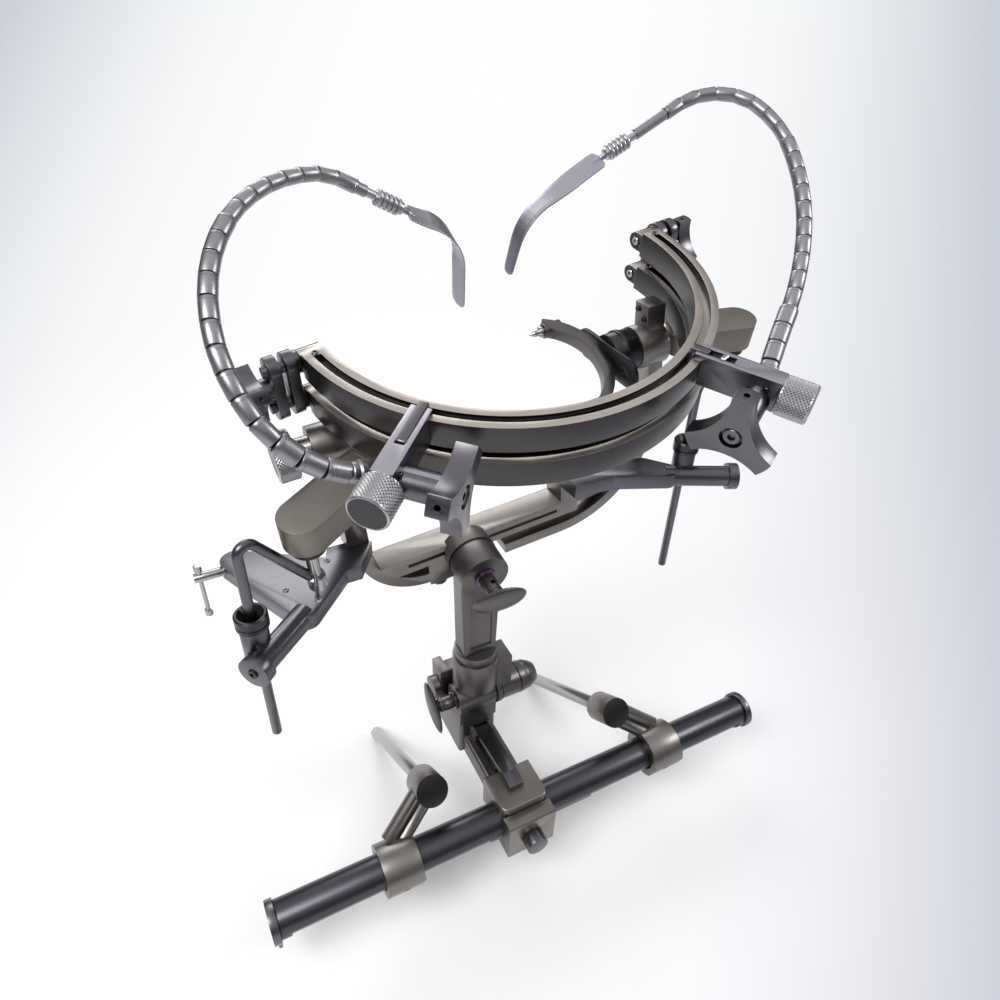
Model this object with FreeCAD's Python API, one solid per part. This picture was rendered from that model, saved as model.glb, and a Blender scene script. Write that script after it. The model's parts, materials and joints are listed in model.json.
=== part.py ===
import FreeCAD, Part
import math, os

os.makedirs("parts", exist_ok=True)
V = FreeCAD.Vector

# All lengths are millimetres. The working frame has its origin on the axis of
# the crossbar, X along the crossbar, Y to the back and Z up. Every piece is
# moved at the end so that the part's origin lies on the left table rod.

# Driving dimensions.
BAR_R = 15.0
BAR_BORE_R = 11.0
BAR_HALF = 228.0
CAP_FLANGE_R = 17.0
CAP_THICK = 6.0
FLAT_DEPTH = 1.8
RUN = 0.05
SEAT = 0.02
SHOW = 0.4

COLLAR_X = 129.0
COLLAR_HALF = 15.5
COLLAR_R = 22.0
HEAD_X = 90.0
HEAD_REACH = 52.0
HEAD_R = 13.5
HEAD_HALF = 15.0
HEAD_TILT = 36.0
TABLE_ROD_R = 6.0
SPIGOT_TAIL_R = 5.0
SOCKET_DEEP = 22.0
TABLE_ROD_OUT = 165.0
MOUNT_FROM_HEAD = 120.0

CLAMP_X = -17.0
CLAMP_HALF = 22.0
CLAMP_FRONT = -24.0
CLAMP_BACK = 27.0
CLAMP_TOP = 25.0
JAW_DROP = 24.0
BOLT_R = 4.0
BOLT_HEAD_R = 9.5

ARM_X0 = -34.0
ARM_X1 = -2.0
ARM_Z0 = -6.0
ARM_Z1 = 16.0
ELBOW_Y = 90.0
ELBOW_Z = 58.0
ELBOW_R = 14.5
STUD_R = 5.0
LEVER_PIVOT_Y = 72.0
LEVER_PIVOT_Z = 22.0

UPRIGHT_X = -18.0
BARREL_R = 20.0
BARREL_Z0 = 76.0
BARREL_Z1 = 111.0
SPIGOT_R = 8.0
SWIVEL_Z = 213.0
SWIVEL_R = 20.0
SWIVEL_TILT = 6.0
SWIVEL_FRONT = 16.0
SWIVEL_REAR = 8.0

SKULL_ROLL = 5.5
SKULL_BACK = 30.0
SKULL_HALF_DEEP = 12.0
BAR_TOP = 13.0
BAR_LOW = -1.0
BAND_HALF = 4.5
BAND_Z = -14.0
LEFT_ARM_X = -84.0
RIGHT_ARM_X = 175.0
LEFT_BEND = 52.0
RIGHT_BEND = 88.0
POST_HALF = 8.0
SILL_END = 104.0
RAIL_Z = 6.0
RAIL_HALF_Y = 6.0
RAIL_HALF_Z = 4.0
RAIL_START = -40.0
BAND_START = 34.0
LOCK_X = -23.0
PIN_AXIS_Z = 130.0
HUB_R = 16.5
PIN_BARREL_R = 9.0
ROCKER_HALF_SPAN = 40.0
ROCKER_TILT = 22.0

RING_R = 150.0
RING_WALL = 16.0
RING_IN_R = RING_R - RING_WALL
RING_HIGH = 18.7
RING_PITCH = 28.0
SLOT_R = RING_R - RING_WALL / 2
SLOT_HALF = 2.5
SLOT_DEEP = 3.0
UNDERCUT_HALF = 4.8
UNDERCUT_DEEP = 6.5
PIVOT_Y = 7.0
PIVOT_R = 9.2

BRACKET_R0 = RING_R + 0.2
BRACKET_END = RING_R + 51.0
BRACKET_HALF = 6.5
BRACKET_Z0 = -17.0
KNOB_Z = -7.0
BRACKET_Z1 = 4.5
KNOB_R = 13.0
KNOB_LONG = 20.0
TENSION_R = RING_R + 38.0
TENSION_Z = -12.0
TENSION_BARREL_R = 9.5
LEFT_BRACKET_DEG = 217.0
RIGHT_BRACKET_DEG = 293.5
LEFT_SUPPORT_DEG = 201.0
RIGHT_SUPPORT_DEG = 338.6
LEFT_SUPPORT_R = RING_R + 57.0
RIGHT_SUPPORT_R = RING_R + 45.0
SLAB_R = 15.0
SLAB_HIGH = 22.0
PLATE_THICK = 12.0
LEG_R = 3.4

BEAD = 14.0
KNUCKLE_R = 3.7
BASE_KNUCKLE_R = 6.0


# Helpers.
def unit(v):
    w = V(v)
    w.normalize()
    return w


def frame(origin, z_dir, x_dir):
    z = unit(z_dir)
    x = unit(V(x_dir) - z * V(x_dir).dot(z))
    y = z.cross(x)
    m = FreeCAD.Matrix(x.x, y.x, z.x, origin.x, x.y, y.y, z.y, origin.y,
                       x.z, y.z, z.z, origin.z, 0, 0, 0, 1)
    return FreeCAD.Placement(m)


def put(shape, place):
    moved = shape.copy()
    moved.Placement = place.multiply(moved.Placement)
    return moved


def turn_vec(place, v):
    return place.Rotation.multVec(v)


def rod(a, b, r):
    d = b - a
    return Part.makeCylinder(r, d.Length, a, d)


def cone(a, b, ra, rb):
    d = b - a
    return Part.makeCone(ra, rb, d.Length, a, d)


def block(x0, x1, y0, y1, z0, z1):
    return Part.makeBox(x1 - x0, y1 - y0, z1 - z0, V(x0, y0, z0))


def fuse(*shapes):
    return shapes[0].multiFuse(list(shapes[1:])).removeSplitter()


def cut(shape, *tools):
    for tool in tools:
        shape = shape.cut(tool)
    return shape


def prism(points, z0, z1):
    ring = [V(x, y, z0) for x, y in points]
    face = Part.Face(Part.makePolygon(ring + [ring[0]]))
    return face.extrude(V(0, 0, z1 - z0))


def slab(a, b, r, z0, z1):
    """Plate with two round ends, from (ax, ay) to (bx, by)."""
    ax, ay = a
    bx, by = b
    long = math.hypot(bx - ax, by - ay)
    nx, ny = -(by - ay) / long * r, (bx - ax) / long * r
    mid = prism([(ax + nx, ay + ny), (ax - nx, ay - ny), (bx - nx, by - ny), (bx + nx, by + ny)], z0, z1)
    ends = [rod(V(x, y, z0), V(x, y, z1), r) for x, y in (a, b)]
    return fuse(mid, *ends)


def turned(profile):
    """Solid of revolution about Z from (radius, height) points."""
    ring = [V(r, 0, z) for r, z in profile]
    face = Part.Face(Part.makePolygon(ring + [ring[0]]))
    return face.revolve(V(0, 0, 0), V(0, 0, 1), 360)


def soften(shape, r, test):
    edges = [e for e in shape.Edges if test(e)]
    return shape.makeFillet(r, edges)


def bevel(shape, size, test):
    edges = [e for e in shape.Edges if test(e)]
    return shape.makeChamfer(size, edges)


def runs(edge, direction):
    a = edge.valueAt(edge.FirstParameter)
    b = edge.valueAt(edge.LastParameter)
    d = b - a
    return d.Length > 1.0 and abs(unit(d).dot(direction)) > 0.999


def middle(edge):
    return edge.valueAt((edge.FirstParameter + edge.LastParameter) / 2)


def trilobe(reach, thick, hole):
    """Three-lobed knob on Z, its lobes pointing at 90, 210 and 330 degrees."""
    body = Part.makeCylinder(reach, thick)
    for k in range(3):
        ang = math.radians(30 + 120 * k)
        far = reach * 1.357
        tool = rod(V(far * math.cos(ang), far * math.sin(ang), -1),
                   V(far * math.cos(ang), far * math.sin(ang), thick + 1), reach * 0.989)
        body = body.cut(tool)
    return cut(body, Part.makeCylinder(hole, thick * 0.4, V(0, 0, thick * 0.6)))


X, Y, Z = V(1, 0, 0), V(0, 1, 0), V(0, 0, 1)
NODES = {}

# Crossbar and its caps.
FLAT_DIR = unit(V(0, -0.93, -0.37))
flat_frame = frame(V(0, 0, 0), FLAT_DIR, X)
bar = rod(V(-BAR_HALF, 0, 0), V(BAR_HALF, 0, 0), BAR_R)
bar = bar.cut(rod(V(-BAR_HALF - 1, 0, 0), V(BAR_HALF + 1, 0, 0), BAR_BORE_R))
for x0, x1 in ((-BAR_HALF + 8, -50.0), (48.0, BAR_HALF - 8)):
    bar = bar.cut(put(block(x0, x1, -12, 12, BAR_R - FLAT_DEPTH, BAR_R + 2), flat_frame))
NODES["crossbar"] = bar


def end_cap(side):
    face = BAR_HALF + SEAT
    plug = rod(V(face - 18, 0, 0), V(face + 1, 0, 0), BAR_BORE_R - SEAT)
    flange = rod(V(face, 0, 0), V(face + CAP_THICK, 0, 0), CAP_FLANGE_R)
    cap = fuse(flange, plug)
    if side < 0:
        cap = fuse(cap, block(face + 1, face + 4, -5, 5, -34, -14))
        cap = cap.mirror(V(0, 0, 0), X)
    return cap


NODES["left_end_cap"] = end_cap(-1)
NODES["right_end_cap"] = end_cap(1)

# Table arms: collar, fluted arm and round head with its rod.
HEAD_DIR = V(0, math.cos(math.radians(HEAD_TILT)), -math.sin(math.radians(HEAD_TILT)))
REACH_DIR = V(0, math.sin(math.radians(HEAD_TILT)), math.cos(math.radians(HEAD_TILT)))


def head_centre(side):
    return V(side * HEAD_X, 0, 0) + REACH_DIR * HEAD_REACH


def table_arm(side):
    cx = side * COLLAR_X
    collar = rod(V(cx - COLLAR_HALF, 0, 0), V(cx + COLLAR_HALF, 0, 0), COLLAR_R)
    foot = V(cx, 0, 0) + REACH_DIR * 18.5
    head = head_centre(side)
    across = unit((head - foot).cross(HEAD_DIR))
    ribs = [rod(foot + across * s, head + across * s, 5.8) for s in (-5.6, 5.6)]
    web_frame = frame(foot, head - foot, across)
    web = put(block(-5.6, 5.6, -4, 4, 0, (head - foot).Length), web_frame)
    drum = rod(head - HEAD_DIR * HEAD_HALF, head + HEAD_DIR * HEAD_HALF, HEAD_R)
    arm = fuse(collar, web, drum, *ribs)
    arm = arm.cut(rod(V(cx - 40, 0, 0), V(cx + 40, 0, 0), BAR_R + RUN))
    arm = arm.cut(rod(head + HEAD_DIR * (HEAD_HALF - SOCKET_DEEP), head + HEAD_DIR * (HEAD_HALF + 1),
                      SPIGOT_TAIL_R + SEAT))
    face = put(block(cx - 20, cx + 20, -9, 9, COLLAR_R - 1.6, COLLAR_R + 3), flat_frame)
    hole = rod(V(cx, 0, 0) + FLAT_DIR * 10, V(cx, 0, 0) + FLAT_DIR * 30, 3.0)
    return cut(arm, face, hole)


def table_rod(side):
    head = head_centre(side)
    inner = head + HEAD_DIR * (HEAD_HALF - SOCKET_DEEP + SEAT)
    shoulder = head + HEAD_DIR * (HEAD_HALF + SEAT)
    outer = head + HEAD_DIR * (HEAD_HALF + TABLE_ROD_OUT)
    tail = rod(inner, shoulder + HEAD_DIR, SPIGOT_TAIL_R)
    tip = cone(outer, outer + HEAD_DIR * 3, TABLE_ROD_R, 3.0)
    return fuse(tail, rod(shoulder, outer, TABLE_ROD_R), tip)


for side, word in ((-1, "left"), (1, "right")):
    NODES[word + "_table_arm"] = table_arm(side)
    NODES[word + "_table_rod"] = table_rod(side)

# Central clamp on the crossbar.
cx0, cx1 = CLAMP_X - CLAMP_HALF, CLAMP_X + CLAMP_HALF
bar_bore = rod(V(cx0 - 1, 0, 0), V(cx1 + 1, 0, 0), BAR_R + RUN)
upper = block(cx0, cx1, CLAMP_FRONT + 13, CLAMP_BACK, -8, CLAMP_TOP)
upper = soften(upper, 7.0, lambda e: runs(e, Z) and abs(middle(e).y - CLAMP_BACK) > 1)
upper = soften(upper, 2.0, lambda e: middle(e).z > CLAMP_TOP - 0.1)
NODES["clamp_block"] = cut(upper, bar_bore)
jaw = block(cx0, cx1, CLAMP_FRONT, CLAMP_BACK - 6, -JAW_DROP, CLAMP_TOP - 7)
jaw = jaw.cut(block(cx0 - 1, cx1 + 1, CLAMP_FRONT + 13 - SHOW, CLAMP_BACK + 1, -8 - SHOW, CLAMP_TOP))
jaw = bevel(jaw, 1.2, lambda e: runs(e, X) and middle(e).y < CLAMP_FRONT + 0.1)
BOLT_Z = -5.0
bolt_hole = rod(V(CLAMP_X, CLAMP_FRONT - 1, BOLT_Z), V(CLAMP_X, 0, BOLT_Z), BOLT_R + RUN)
NODES["clamp_jaw"] = cut(jaw, bar_bore, bolt_hole)
bolt_head = rod(V(CLAMP_X, CLAMP_FRONT - 11, BOLT_Z), V(CLAMP_X, CLAMP_FRONT - SEAT, BOLT_Z), BOLT_HEAD_R)
bolt_shank = rod(V(CLAMP_X, CLAMP_FRONT - 1, BOLT_Z), V(CLAMP_X, -BAR_R - 1.5, BOLT_Z), BOLT_R)
NODES["clamp_bolt"] = fuse(bolt_head, bolt_shank)

# Transitional arm with the lower half of the elbow.
beam = block(ARM_X0, ARM_X1, CLAMP_BACK + SEAT, ELBOW_Y, ARM_Z0, ARM_Z1)
beam = soften(beam, 3.0, lambda e: runs(e, Y))
knuckle = block(ARM_X0 - 4, ARM_X1, ELBOW_Y - 12, ELBOW_Y + 42, ARM_Z0, 40)
knuckle = soften(knuckle, 4.0, lambda e: runs(e, X) or runs(e, Z))
neck = block(ARM_X0 - 4, ARM_X1, ELBOW_Y - 12, ELBOW_Y + 12, 34, ELBOW_Z)
cheek = block(ARM_X0 - 8, ARM_X1 - 10, ELBOW_Y + 22.5, ELBOW_Y + 42, 34, 72)
cheek = cheek.cut(block(ARM_X0, ARM_X1 - 18, ELBOW_Y + 26, ELBOW_Y + 43, 64, 73))
eye = rod(V(ARM_X0 - 4, ELBOW_Y, ELBOW_Z), V(ARM_X1, ELBOW_Y, ELBOW_Z), ELBOW_R)
disc = rod(V(ARM_X0 - 14, ELBOW_Y + 31, 46), V(ARM_X0 - 3, ELBOW_Y + 31, 46), 11)
arm = fuse(beam, knuckle, neck, cheek, eye, disc)
bore = rod(V(ARM_X0 - 20, ELBOW_Y, ELBOW_Z), V(60, ELBOW_Y, ELBOW_Z), STUD_R + RUN)
lever_pocket = block(-25.2, -10.8, LEVER_PIVOT_Y - 8, LEVER_PIVOT_Y + 7, ARM_Z1 - 1.2, ARM_Z1 + 1)
for x in (ARM_X0, ARM_X0 + 4):
    arm = arm.cut(block(x - 1, x + 1, CLAMP_BACK + 6, ELBOW_Y - 18, ARM_Z1 - 2, ARM_Z1 + 2))
ears = [block(x, x + 3, LEVER_PIVOT_Y - 5, LEVER_PIVOT_Y + 8, ARM_Z1 - 1, LEVER_PIVOT_Z + 5)
        for x in (-28.2, -10.8)]
arm = fuse(cut(arm, bore, lever_pocket), *ears)
lever_bore = rod(V(-40, LEVER_PIVOT_Y, LEVER_PIVOT_Z), V(0, LEVER_PIVOT_Y, LEVER_PIVOT_Z), 2.5 + RUN)
NODES["transitional_arm"] = arm.cut(lever_bore)

lever_frame = frame(V(0, 0, 0), X, Y)
lever = put(prism([(LEVER_PIVOT_Y + 4, ARM_Z1 + 1.2), (LEVER_PIVOT_Y + 4, LEVER_PIVOT_Z + 4),
                   (CLAMP_BACK - 8, CLAMP_TOP + 7), (CLAMP_BACK - 22, CLAMP_TOP + 5),
                   (CLAMP_BACK - 22, CLAMP_TOP + 0.3), (CLAMP_BACK + 1.5, CLAMP_TOP + 0.3),
                   (CLAMP_BACK + 7, ARM_Z1 + 1.2)], -24.8, -11.2), lever_frame)
lever = soften(lever, 1.5, lambda e: runs(e, X) and middle(e).z > CLAMP_TOP + 1)
lever_pin = rod(V(-28.1, LEVER_PIVOT_Y, LEVER_PIVOT_Z), V(-7.9, LEVER_PIVOT_Y, LEVER_PIVOT_Z), 2.5)
NODES["cam_lever"] = fuse(lever, lever_pin)

# Upper half of the elbow and its locking handle.
split = ARM_X1 + SHOW
half = rod(V(split, ELBOW_Y, ELBOW_Z), V(28, ELBOW_Y, ELBOW_Z), ELBOW_R)
flange = rod(V(split, ELBOW_Y, ELBOW_Z), V(split + 5, ELBOW_Y, ELBOW_Z), ELBOW_R + 1)
nose_line = [(0, 0), (ELBOW_R - 0.6, 0), (ELBOW_R - 1, 6), (ELBOW_R - 3.5, 11), (8.5, 14.5), (0, 14.5)]
nose = put(turned(nose_line), frame(V(27.9, ELBOW_Y, ELBOW_Z), X, Z))
bridge = block(split, 13, ELBOW_Y - 11, ELBOW_Y + 11, ELBOW_Z, BARREL_Z1 - 8)
shelf = block(UPRIGHT_X, 13, ELBOW_Y - 11, ELBOW_Y + 11, BARREL_Z0, BARREL_Z1 - 8)
barrel = rod(V(UPRIGHT_X, ELBOW_Y, BARREL_Z0), V(UPRIGHT_X, ELBOW_Y, BARREL_Z1), BARREL_R)
socket = rod(V(UPRIGHT_X, ELBOW_Y, BARREL_Z1 - 22), V(UPRIGHT_X, ELBOW_Y, BARREL_Z1 + 1), SPIGOT_R + RUN)
NODES["elbow_body"] = cut(fuse(half, flange, nose, bridge, shelf, barrel), bore, socket)


def paddle(thick):
    return slab((0, -12), (0, 12), 12, -thick / 2, thick / 2)


ELBOW_FACE = ARM_X0 - 4
handle = rod(V(ELBOW_FACE - 26, ELBOW_Y, ELBOW_Z), V(30, ELBOW_Y, ELBOW_Z), STUD_R)
washer = rod(V(ELBOW_FACE - 3.0, ELBOW_Y, ELBOW_Z), V(ELBOW_FACE - SEAT, ELBOW_Y, ELBOW_Z), 8.5)
handle_hub = rod(V(ELBOW_FACE - 17, ELBOW_Y, ELBOW_Z), V(ELBOW_FACE - 3, ELBOW_Y, ELBOW_Z), 6.6)
wing = put(paddle(7.0), frame(V(ELBOW_FACE - 21, ELBOW_Y, ELBOW_Z), V(-1, 0, 0), V(0, -0.66, 0.75)))
NODES["elbow_handle"] = fuse(handle, washer, handle_hub, wing)

# Upright arm and swivel head.
tilt = math.radians(SWIVEL_TILT)
SWIVEL_DIR = V(0, math.cos(tilt), math.sin(tilt))
SWIVEL_AT = V(UPRIGHT_X, ELBOW_Y, SWIVEL_Z)
foot_z = BARREL_Z1 + SHOW / 2
foot = rod(V(UPRIGHT_X, ELBOW_Y, foot_z), V(UPRIGHT_X, ELBOW_Y, foot_z + 9), 18.5)
peg = rod(V(UPRIGHT_X, ELBOW_Y, BARREL_Z1 - 21), V(UPRIGHT_X, ELBOW_Y, foot_z + 1), SPIGOT_R)
low = Part.makePolygon([V(UPRIGHT_X + x, ELBOW_Y + y, foot_z + 8) for x, y in
                        ((-15, -10), (15, -10), (15, 10), (-15, 10), (-15, -10))])
high = Part.makePolygon([V(UPRIGHT_X + x, ELBOW_Y + y, SWIVEL_Z) for x, y in
                         ((-18, -9.5), (18, -9.5), (18, 7.4), (-18, 7.4), (-18, -9.5))])
stem = Part.makeLoft([low, high], True, True)
stem = soften(stem, 2.0, lambda e: abs(middle(e).z - (foot_z + 8 + SWIVEL_Z) / 2) < 0.1)
recess = block(UPRIGHT_X - 10, UPRIGHT_X + 10, ELBOW_Y - 20, ELBOW_Y - 8.2, foot_z + 16, SWIVEL_Z - 24)
drum = rod(SWIVEL_AT - SWIVEL_DIR * SWIVEL_FRONT, SWIVEL_AT + SWIVEL_DIR * SWIVEL_REAR, SWIVEL_R)
STUD_BORE = rod(SWIVEL_AT - SWIVEL_DIR * 30, SWIVEL_AT + SWIVEL_DIR * 60, STUD_R + RUN)
NODES["upright_arm"] = cut(fuse(foot, peg, stem, drum), recess, STUD_BORE)

stud = rod(SWIVEL_AT - SWIVEL_DIR * 44, SWIVEL_AT + SWIVEL_DIR * 19, STUD_R)
washer_at = SWIVEL_AT - SWIVEL_DIR * (SWIVEL_FRONT + 3)
washer = rod(washer_at, SWIVEL_AT - SWIVEL_DIR * (SWIVEL_FRONT + SEAT), 9.0)
hub = rod(SWIVEL_AT - SWIVEL_DIR * 38, SWIVEL_AT - SWIVEL_DIR * (SWIVEL_FRONT + 3), 6.6)
wing = put(paddle(7.0), frame(SWIVEL_AT - SWIVEL_DIR * 41, SWIVEL_DIR, V(0.1, 0, 1)))
NODES["swivel_handle"] = fuse(stud, washer, hub, wing)

# Skull clamp: fixed frame, sliding rail and pins.
roll = math.radians(SKULL_ROLL)
SKULL = frame(V(UPRIGHT_X, ELBOW_Y + SKULL_BACK, SWIVEL_Z), V(-math.sin(roll), 0, math.cos(roll)),
              V(math.cos(roll), 0, math.sin(roll)))


def corner(cx, cz, r_mid, side):
    """Quarter of a band in the local XZ plane, from its lowest point up."""
    deep = SKULL_HALF_DEEP
    outer = rod(V(cx, -deep, cz), V(cx, deep, cz), r_mid + BAND_HALF)
    inner = rod(V(cx, -deep - 1, cz), V(cx, deep + 1, cz), r_mid - BAND_HALF)
    reach = r_mid + BAND_HALF + 1
    window = block(min(cx, cx + side * reach), max(cx, cx + side * reach), -deep, deep, cz - reach, cz)
    return outer.common(window).cut(inner)


def upright_post(at_x, half, deep, z0, z1):
    return block(at_x - half, at_x + half, -deep, deep, z0, z1)


left_turn_x = LEFT_ARM_X + LEFT_BEND
left_turn_z = BAND_Z + LEFT_BEND
left_bend = corner(left_turn_x, left_turn_z, LEFT_BEND, -1)
left_post = upright_post(LEFT_ARM_X, POST_HALF, SKULL_HALF_DEEP, left_turn_z - 1, PIN_AXIS_Z - 3)
left_foot = block(left_turn_x - 2, left_turn_x + 20, -SKULL_HALF_DEEP, SKULL_HALF_DEEP,
                  BAND_Z - BAND_HALF - 3.5, BAR_LOW + 1)
sill = block(LEFT_ARM_X + 12, SILL_END, -SKULL_HALF_DEEP, SKULL_HALF_DEEP, BAR_LOW, BAR_TOP)
pin_boss = rod(V(LEFT_ARM_X - 15, 0, PIN_AXIS_Z), V(LEFT_ARM_X + 15, 0, PIN_AXIS_Z), 15)
horn = block(SILL_END - 16, SILL_END, -SKULL_HALF_DEEP, SKULL_HALF_DEEP, 0, 49)
rear_drum = rod(SWIVEL_AT + SWIVEL_DIR * (SWIVEL_REAR + SHOW / 2), SWIVEL_AT + SWIVEL_DIR * 24, SWIVEL_R)
skull = fuse(left_bend, left_post, left_foot, sill, horn, pin_boss)
rail_way = block(RAIL_START - 14, SILL_END + 1, -RAIL_HALF_Y - RUN, RAIL_HALF_Y + RUN,
                 RAIL_Z - RAIL_HALF_Z - RUN, RAIL_Z + RAIL_HALF_Z + RUN)
groove = block(RAIL_START - 10, SILL_END - 20, -SKULL_HALF_DEEP - 1, -SKULL_HALF_DEEP + 2,
               RAIL_Z - 1.6, RAIL_Z + 1.6)
pin_bore = rod(V(LEFT_ARM_X - 40, 0, PIN_AXIS_Z), V(LEFT_ARM_X + 40, 0, PIN_AXIS_Z), PIN_BARREL_R + RUN)
skull = fuse(put(skull, SKULL), rear_drum)
foot_low = BAND_Z - BAND_HALF - 3.5
lock_hole = rod(V(LOCK_X, 0, foot_low - 1), V(LOCK_X, 0, RAIL_Z), 3 + RUN)
stud_pocket = rod(SWIVEL_AT, SWIVEL_AT + SWIVEL_DIR * 20, STUD_R + RUN)
pockets = [put(t, SKULL) for t in (rail_way, groove, pin_bore, lock_hole)]
NODES["skull_frame"] = cut(skull, *pockets, stud_pocket)
lock = fuse(rod(V(LOCK_X, 0, foot_low - 9), V(LOCK_X, 0, foot_low - SEAT), 7),
            rod(V(LOCK_X, 0, foot_low - 1), V(LOCK_X, 0, RAIL_Z - RAIL_HALF_Z - 0.3), 3))
NODES["rail_lock_screw"] = put(lock, SKULL)

# The rail slides in the sill; its outer band sweeps round below and up to the
# post that carries the rocker hub.
right_turn_x = RIGHT_ARM_X - RIGHT_BEND
right_turn_z = BAND_Z + RIGHT_BEND
rail = block(RAIL_START, right_turn_x + 55, -RAIL_HALF_Y, RAIL_HALF_Y,
             RAIL_Z - RAIL_HALF_Z, RAIL_Z + RAIL_HALF_Z)
band = block(BAND_START, right_turn_x + 1, -SKULL_HALF_DEEP, SKULL_HALF_DEEP,
             BAND_Z - BAND_HALF, BAND_Z + BAND_HALF)
right_bend = corner(right_turn_x, right_turn_z, RIGHT_BEND, 1)
right_leg = upright_post(RIGHT_ARM_X, BAND_HALF + 2, SKULL_HALF_DEEP, right_turn_z - 1, PIN_AXIS_Z - 5)
right_post = upright_post(RIGHT_ARM_X, POST_HALF, POST_HALF, PIN_AXIS_Z - 10, PIN_AXIS_Z + 35)
hub_boss = rod(V(RIGHT_ARM_X - 16, 0, PIN_AXIS_Z), V(RIGHT_ARM_X + 9, 0, PIN_AXIS_Z), 17)
hub_bore = rod(V(RIGHT_ARM_X - 30, 0, PIN_AXIS_Z), V(RIGHT_ARM_X + 30, 0, PIN_AXIS_Z), 9 + RUN)
slider = fuse(rail, band, right_bend, right_leg, right_post, hub_boss)
NODES["extension_rail"] = put(cut(slider, hub_bore), SKULL)

hub_face = RIGHT_ARM_X - 16
hub_shape = fuse(rod(V(hub_face - 22, 0, PIN_AXIS_Z), V(hub_face - SEAT, 0, PIN_AXIS_Z), HUB_R),
                 rod(V(hub_face - 14, 0, PIN_AXIS_Z), V(hub_face - 10, 0, PIN_AXIS_Z), HUB_R + 1.2),
                 rod(V(hub_face - 1, 0, PIN_AXIS_Z), V(RIGHT_ARM_X + 8, 0, PIN_AXIS_Z), 9))
NODES["rocker_hub"] = put(hub_shape.cut(rod(V(hub_face - 23, 0, PIN_AXIS_Z), V(hub_face - 4, 0, PIN_AXIS_Z),
                                            6 + RUN)), SKULL)
plate_x = hub_face - 22 - SEAT
index = slab((-30, 0), (26, 0), 12, 0, 3)
index = cut(index, Part.makeCylinder(6 + RUN, 10, V(0, 0, -1)), Part.makeCylinder(3, 10, V(-26, 0, -1)))
INDEX_AT = frame(V(plate_x, 0, PIN_AXIS_Z), V(-1, 0, 0), V(0, 1, 0))
NODES["index_plate"] = put(put(index, INDEX_AT), SKULL)

# The rocker lies in a plane that holds the hub axis; local X is its span.
tilt_r = math.radians(ROCKER_TILT)
SPAN_DIR = V(0, math.cos(tilt_r), math.sin(tilt_r))
ROCKER_AT = frame(V(plate_x - 3 - SEAT, 0, PIN_AXIS_Z), V(-1, 0, 0), SPAN_DIR)
bow_r = 52.0
bow_mid = bow_r - 4.0
bow = rod(V(0, -6, bow_r), V(0, 6, bow_r), bow_r).cut(rod(V(0, -9, bow_r), V(0, 9, bow_r), bow_r - 8))
tip_z = bow_r - math.sqrt(bow_mid ** 2 - ROCKER_HALF_SPAN ** 2)
bow = bow.common(block(-ROCKER_HALF_SPAN - 8, ROCKER_HALF_SPAN + 8, -8, 8, 0, tip_z + 5))
spindle = rod(V(0, 0, -20), V(0, 0, 4), 6)
ends = (-ROCKER_HALF_SPAN, ROCKER_HALF_SPAN)
bosses = [rod(V(x, 0, tip_z - 8), V(x, 0, tip_z + 7), 5.8) for x in ends]
pin_holes = [rod(V(x, 0, tip_z - 6), V(x, 0, tip_z + 8), 3 + RUN) for x in ends]
NODES["rocker_arm"] = put(put(cut(fuse(bow, spindle, *bosses), *pin_holes), ROCKER_AT), SKULL)


def skull_pin(seat):
    return turned([(0, -seat), (3, -seat), (3, 0.4), (4.2, 0.4), (4.2, 3.5), (2.6, 5), (2.6, 8),
                   (0.5, 12.5), (0, 12.5)])


for x, word in ((ROCKER_HALF_SPAN, "back"), (-ROCKER_HALF_SPAN, "front")):
    spot = frame(V(x, 0, tip_z + 7 - 0.38), Z, X)
    NODES[word + "_rocker_pin"] = put(put(put(skull_pin(12.0), spot), ROCKER_AT), SKULL)

SCREW_Z = PIN_AXIS_Z
sleeve = fuse(rod(V(LEFT_ARM_X - 26, 0, SCREW_Z), V(LEFT_ARM_X + 30, 0, SCREW_Z), PIN_BARREL_R),
              rod(V(LEFT_ARM_X + 16, 0, SCREW_Z), V(LEFT_ARM_X + 24, 0, SCREW_Z), 12))
sleeve = sleeve.cut(rod(V(LEFT_ARM_X + 12, 0, SCREW_Z), V(LEFT_ARM_X + 31, 0, SCREW_Z), 3 + RUN))
sleeve = sleeve.cut(rod(V(LEFT_ARM_X - 27, 0, SCREW_Z), V(LEFT_ARM_X - 10, 0, SCREW_Z), 5 + RUN))
NODES["torque_sleeve"] = put(sleeve, SKULL)
knob = rod(V(LEFT_ARM_X - 41, 0, SCREW_Z), V(LEFT_ARM_X - 26.3, 0, SCREW_Z), 18)
knob_stem = rod(V(LEFT_ARM_X - 27, 0, SCREW_Z), V(LEFT_ARM_X - 11, 0, SCREW_Z), 5)
NODES["torque_knob"] = put(fuse(knob, knob_stem), SKULL)
single_at = frame(V(LEFT_ARM_X + 30 - 0.38, 0, SCREW_Z), X, Z)
NODES["single_pin"] = put(put(skull_pin(16.0), single_at), SKULL)

# Halo: two half rings with a T-slot, linked at both ends.
HALO = frame(V(20.5, 137.5, 418.2), V(-0.085, -0.170, 0.982), V(0.985, 0.137, 0.109))


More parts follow.
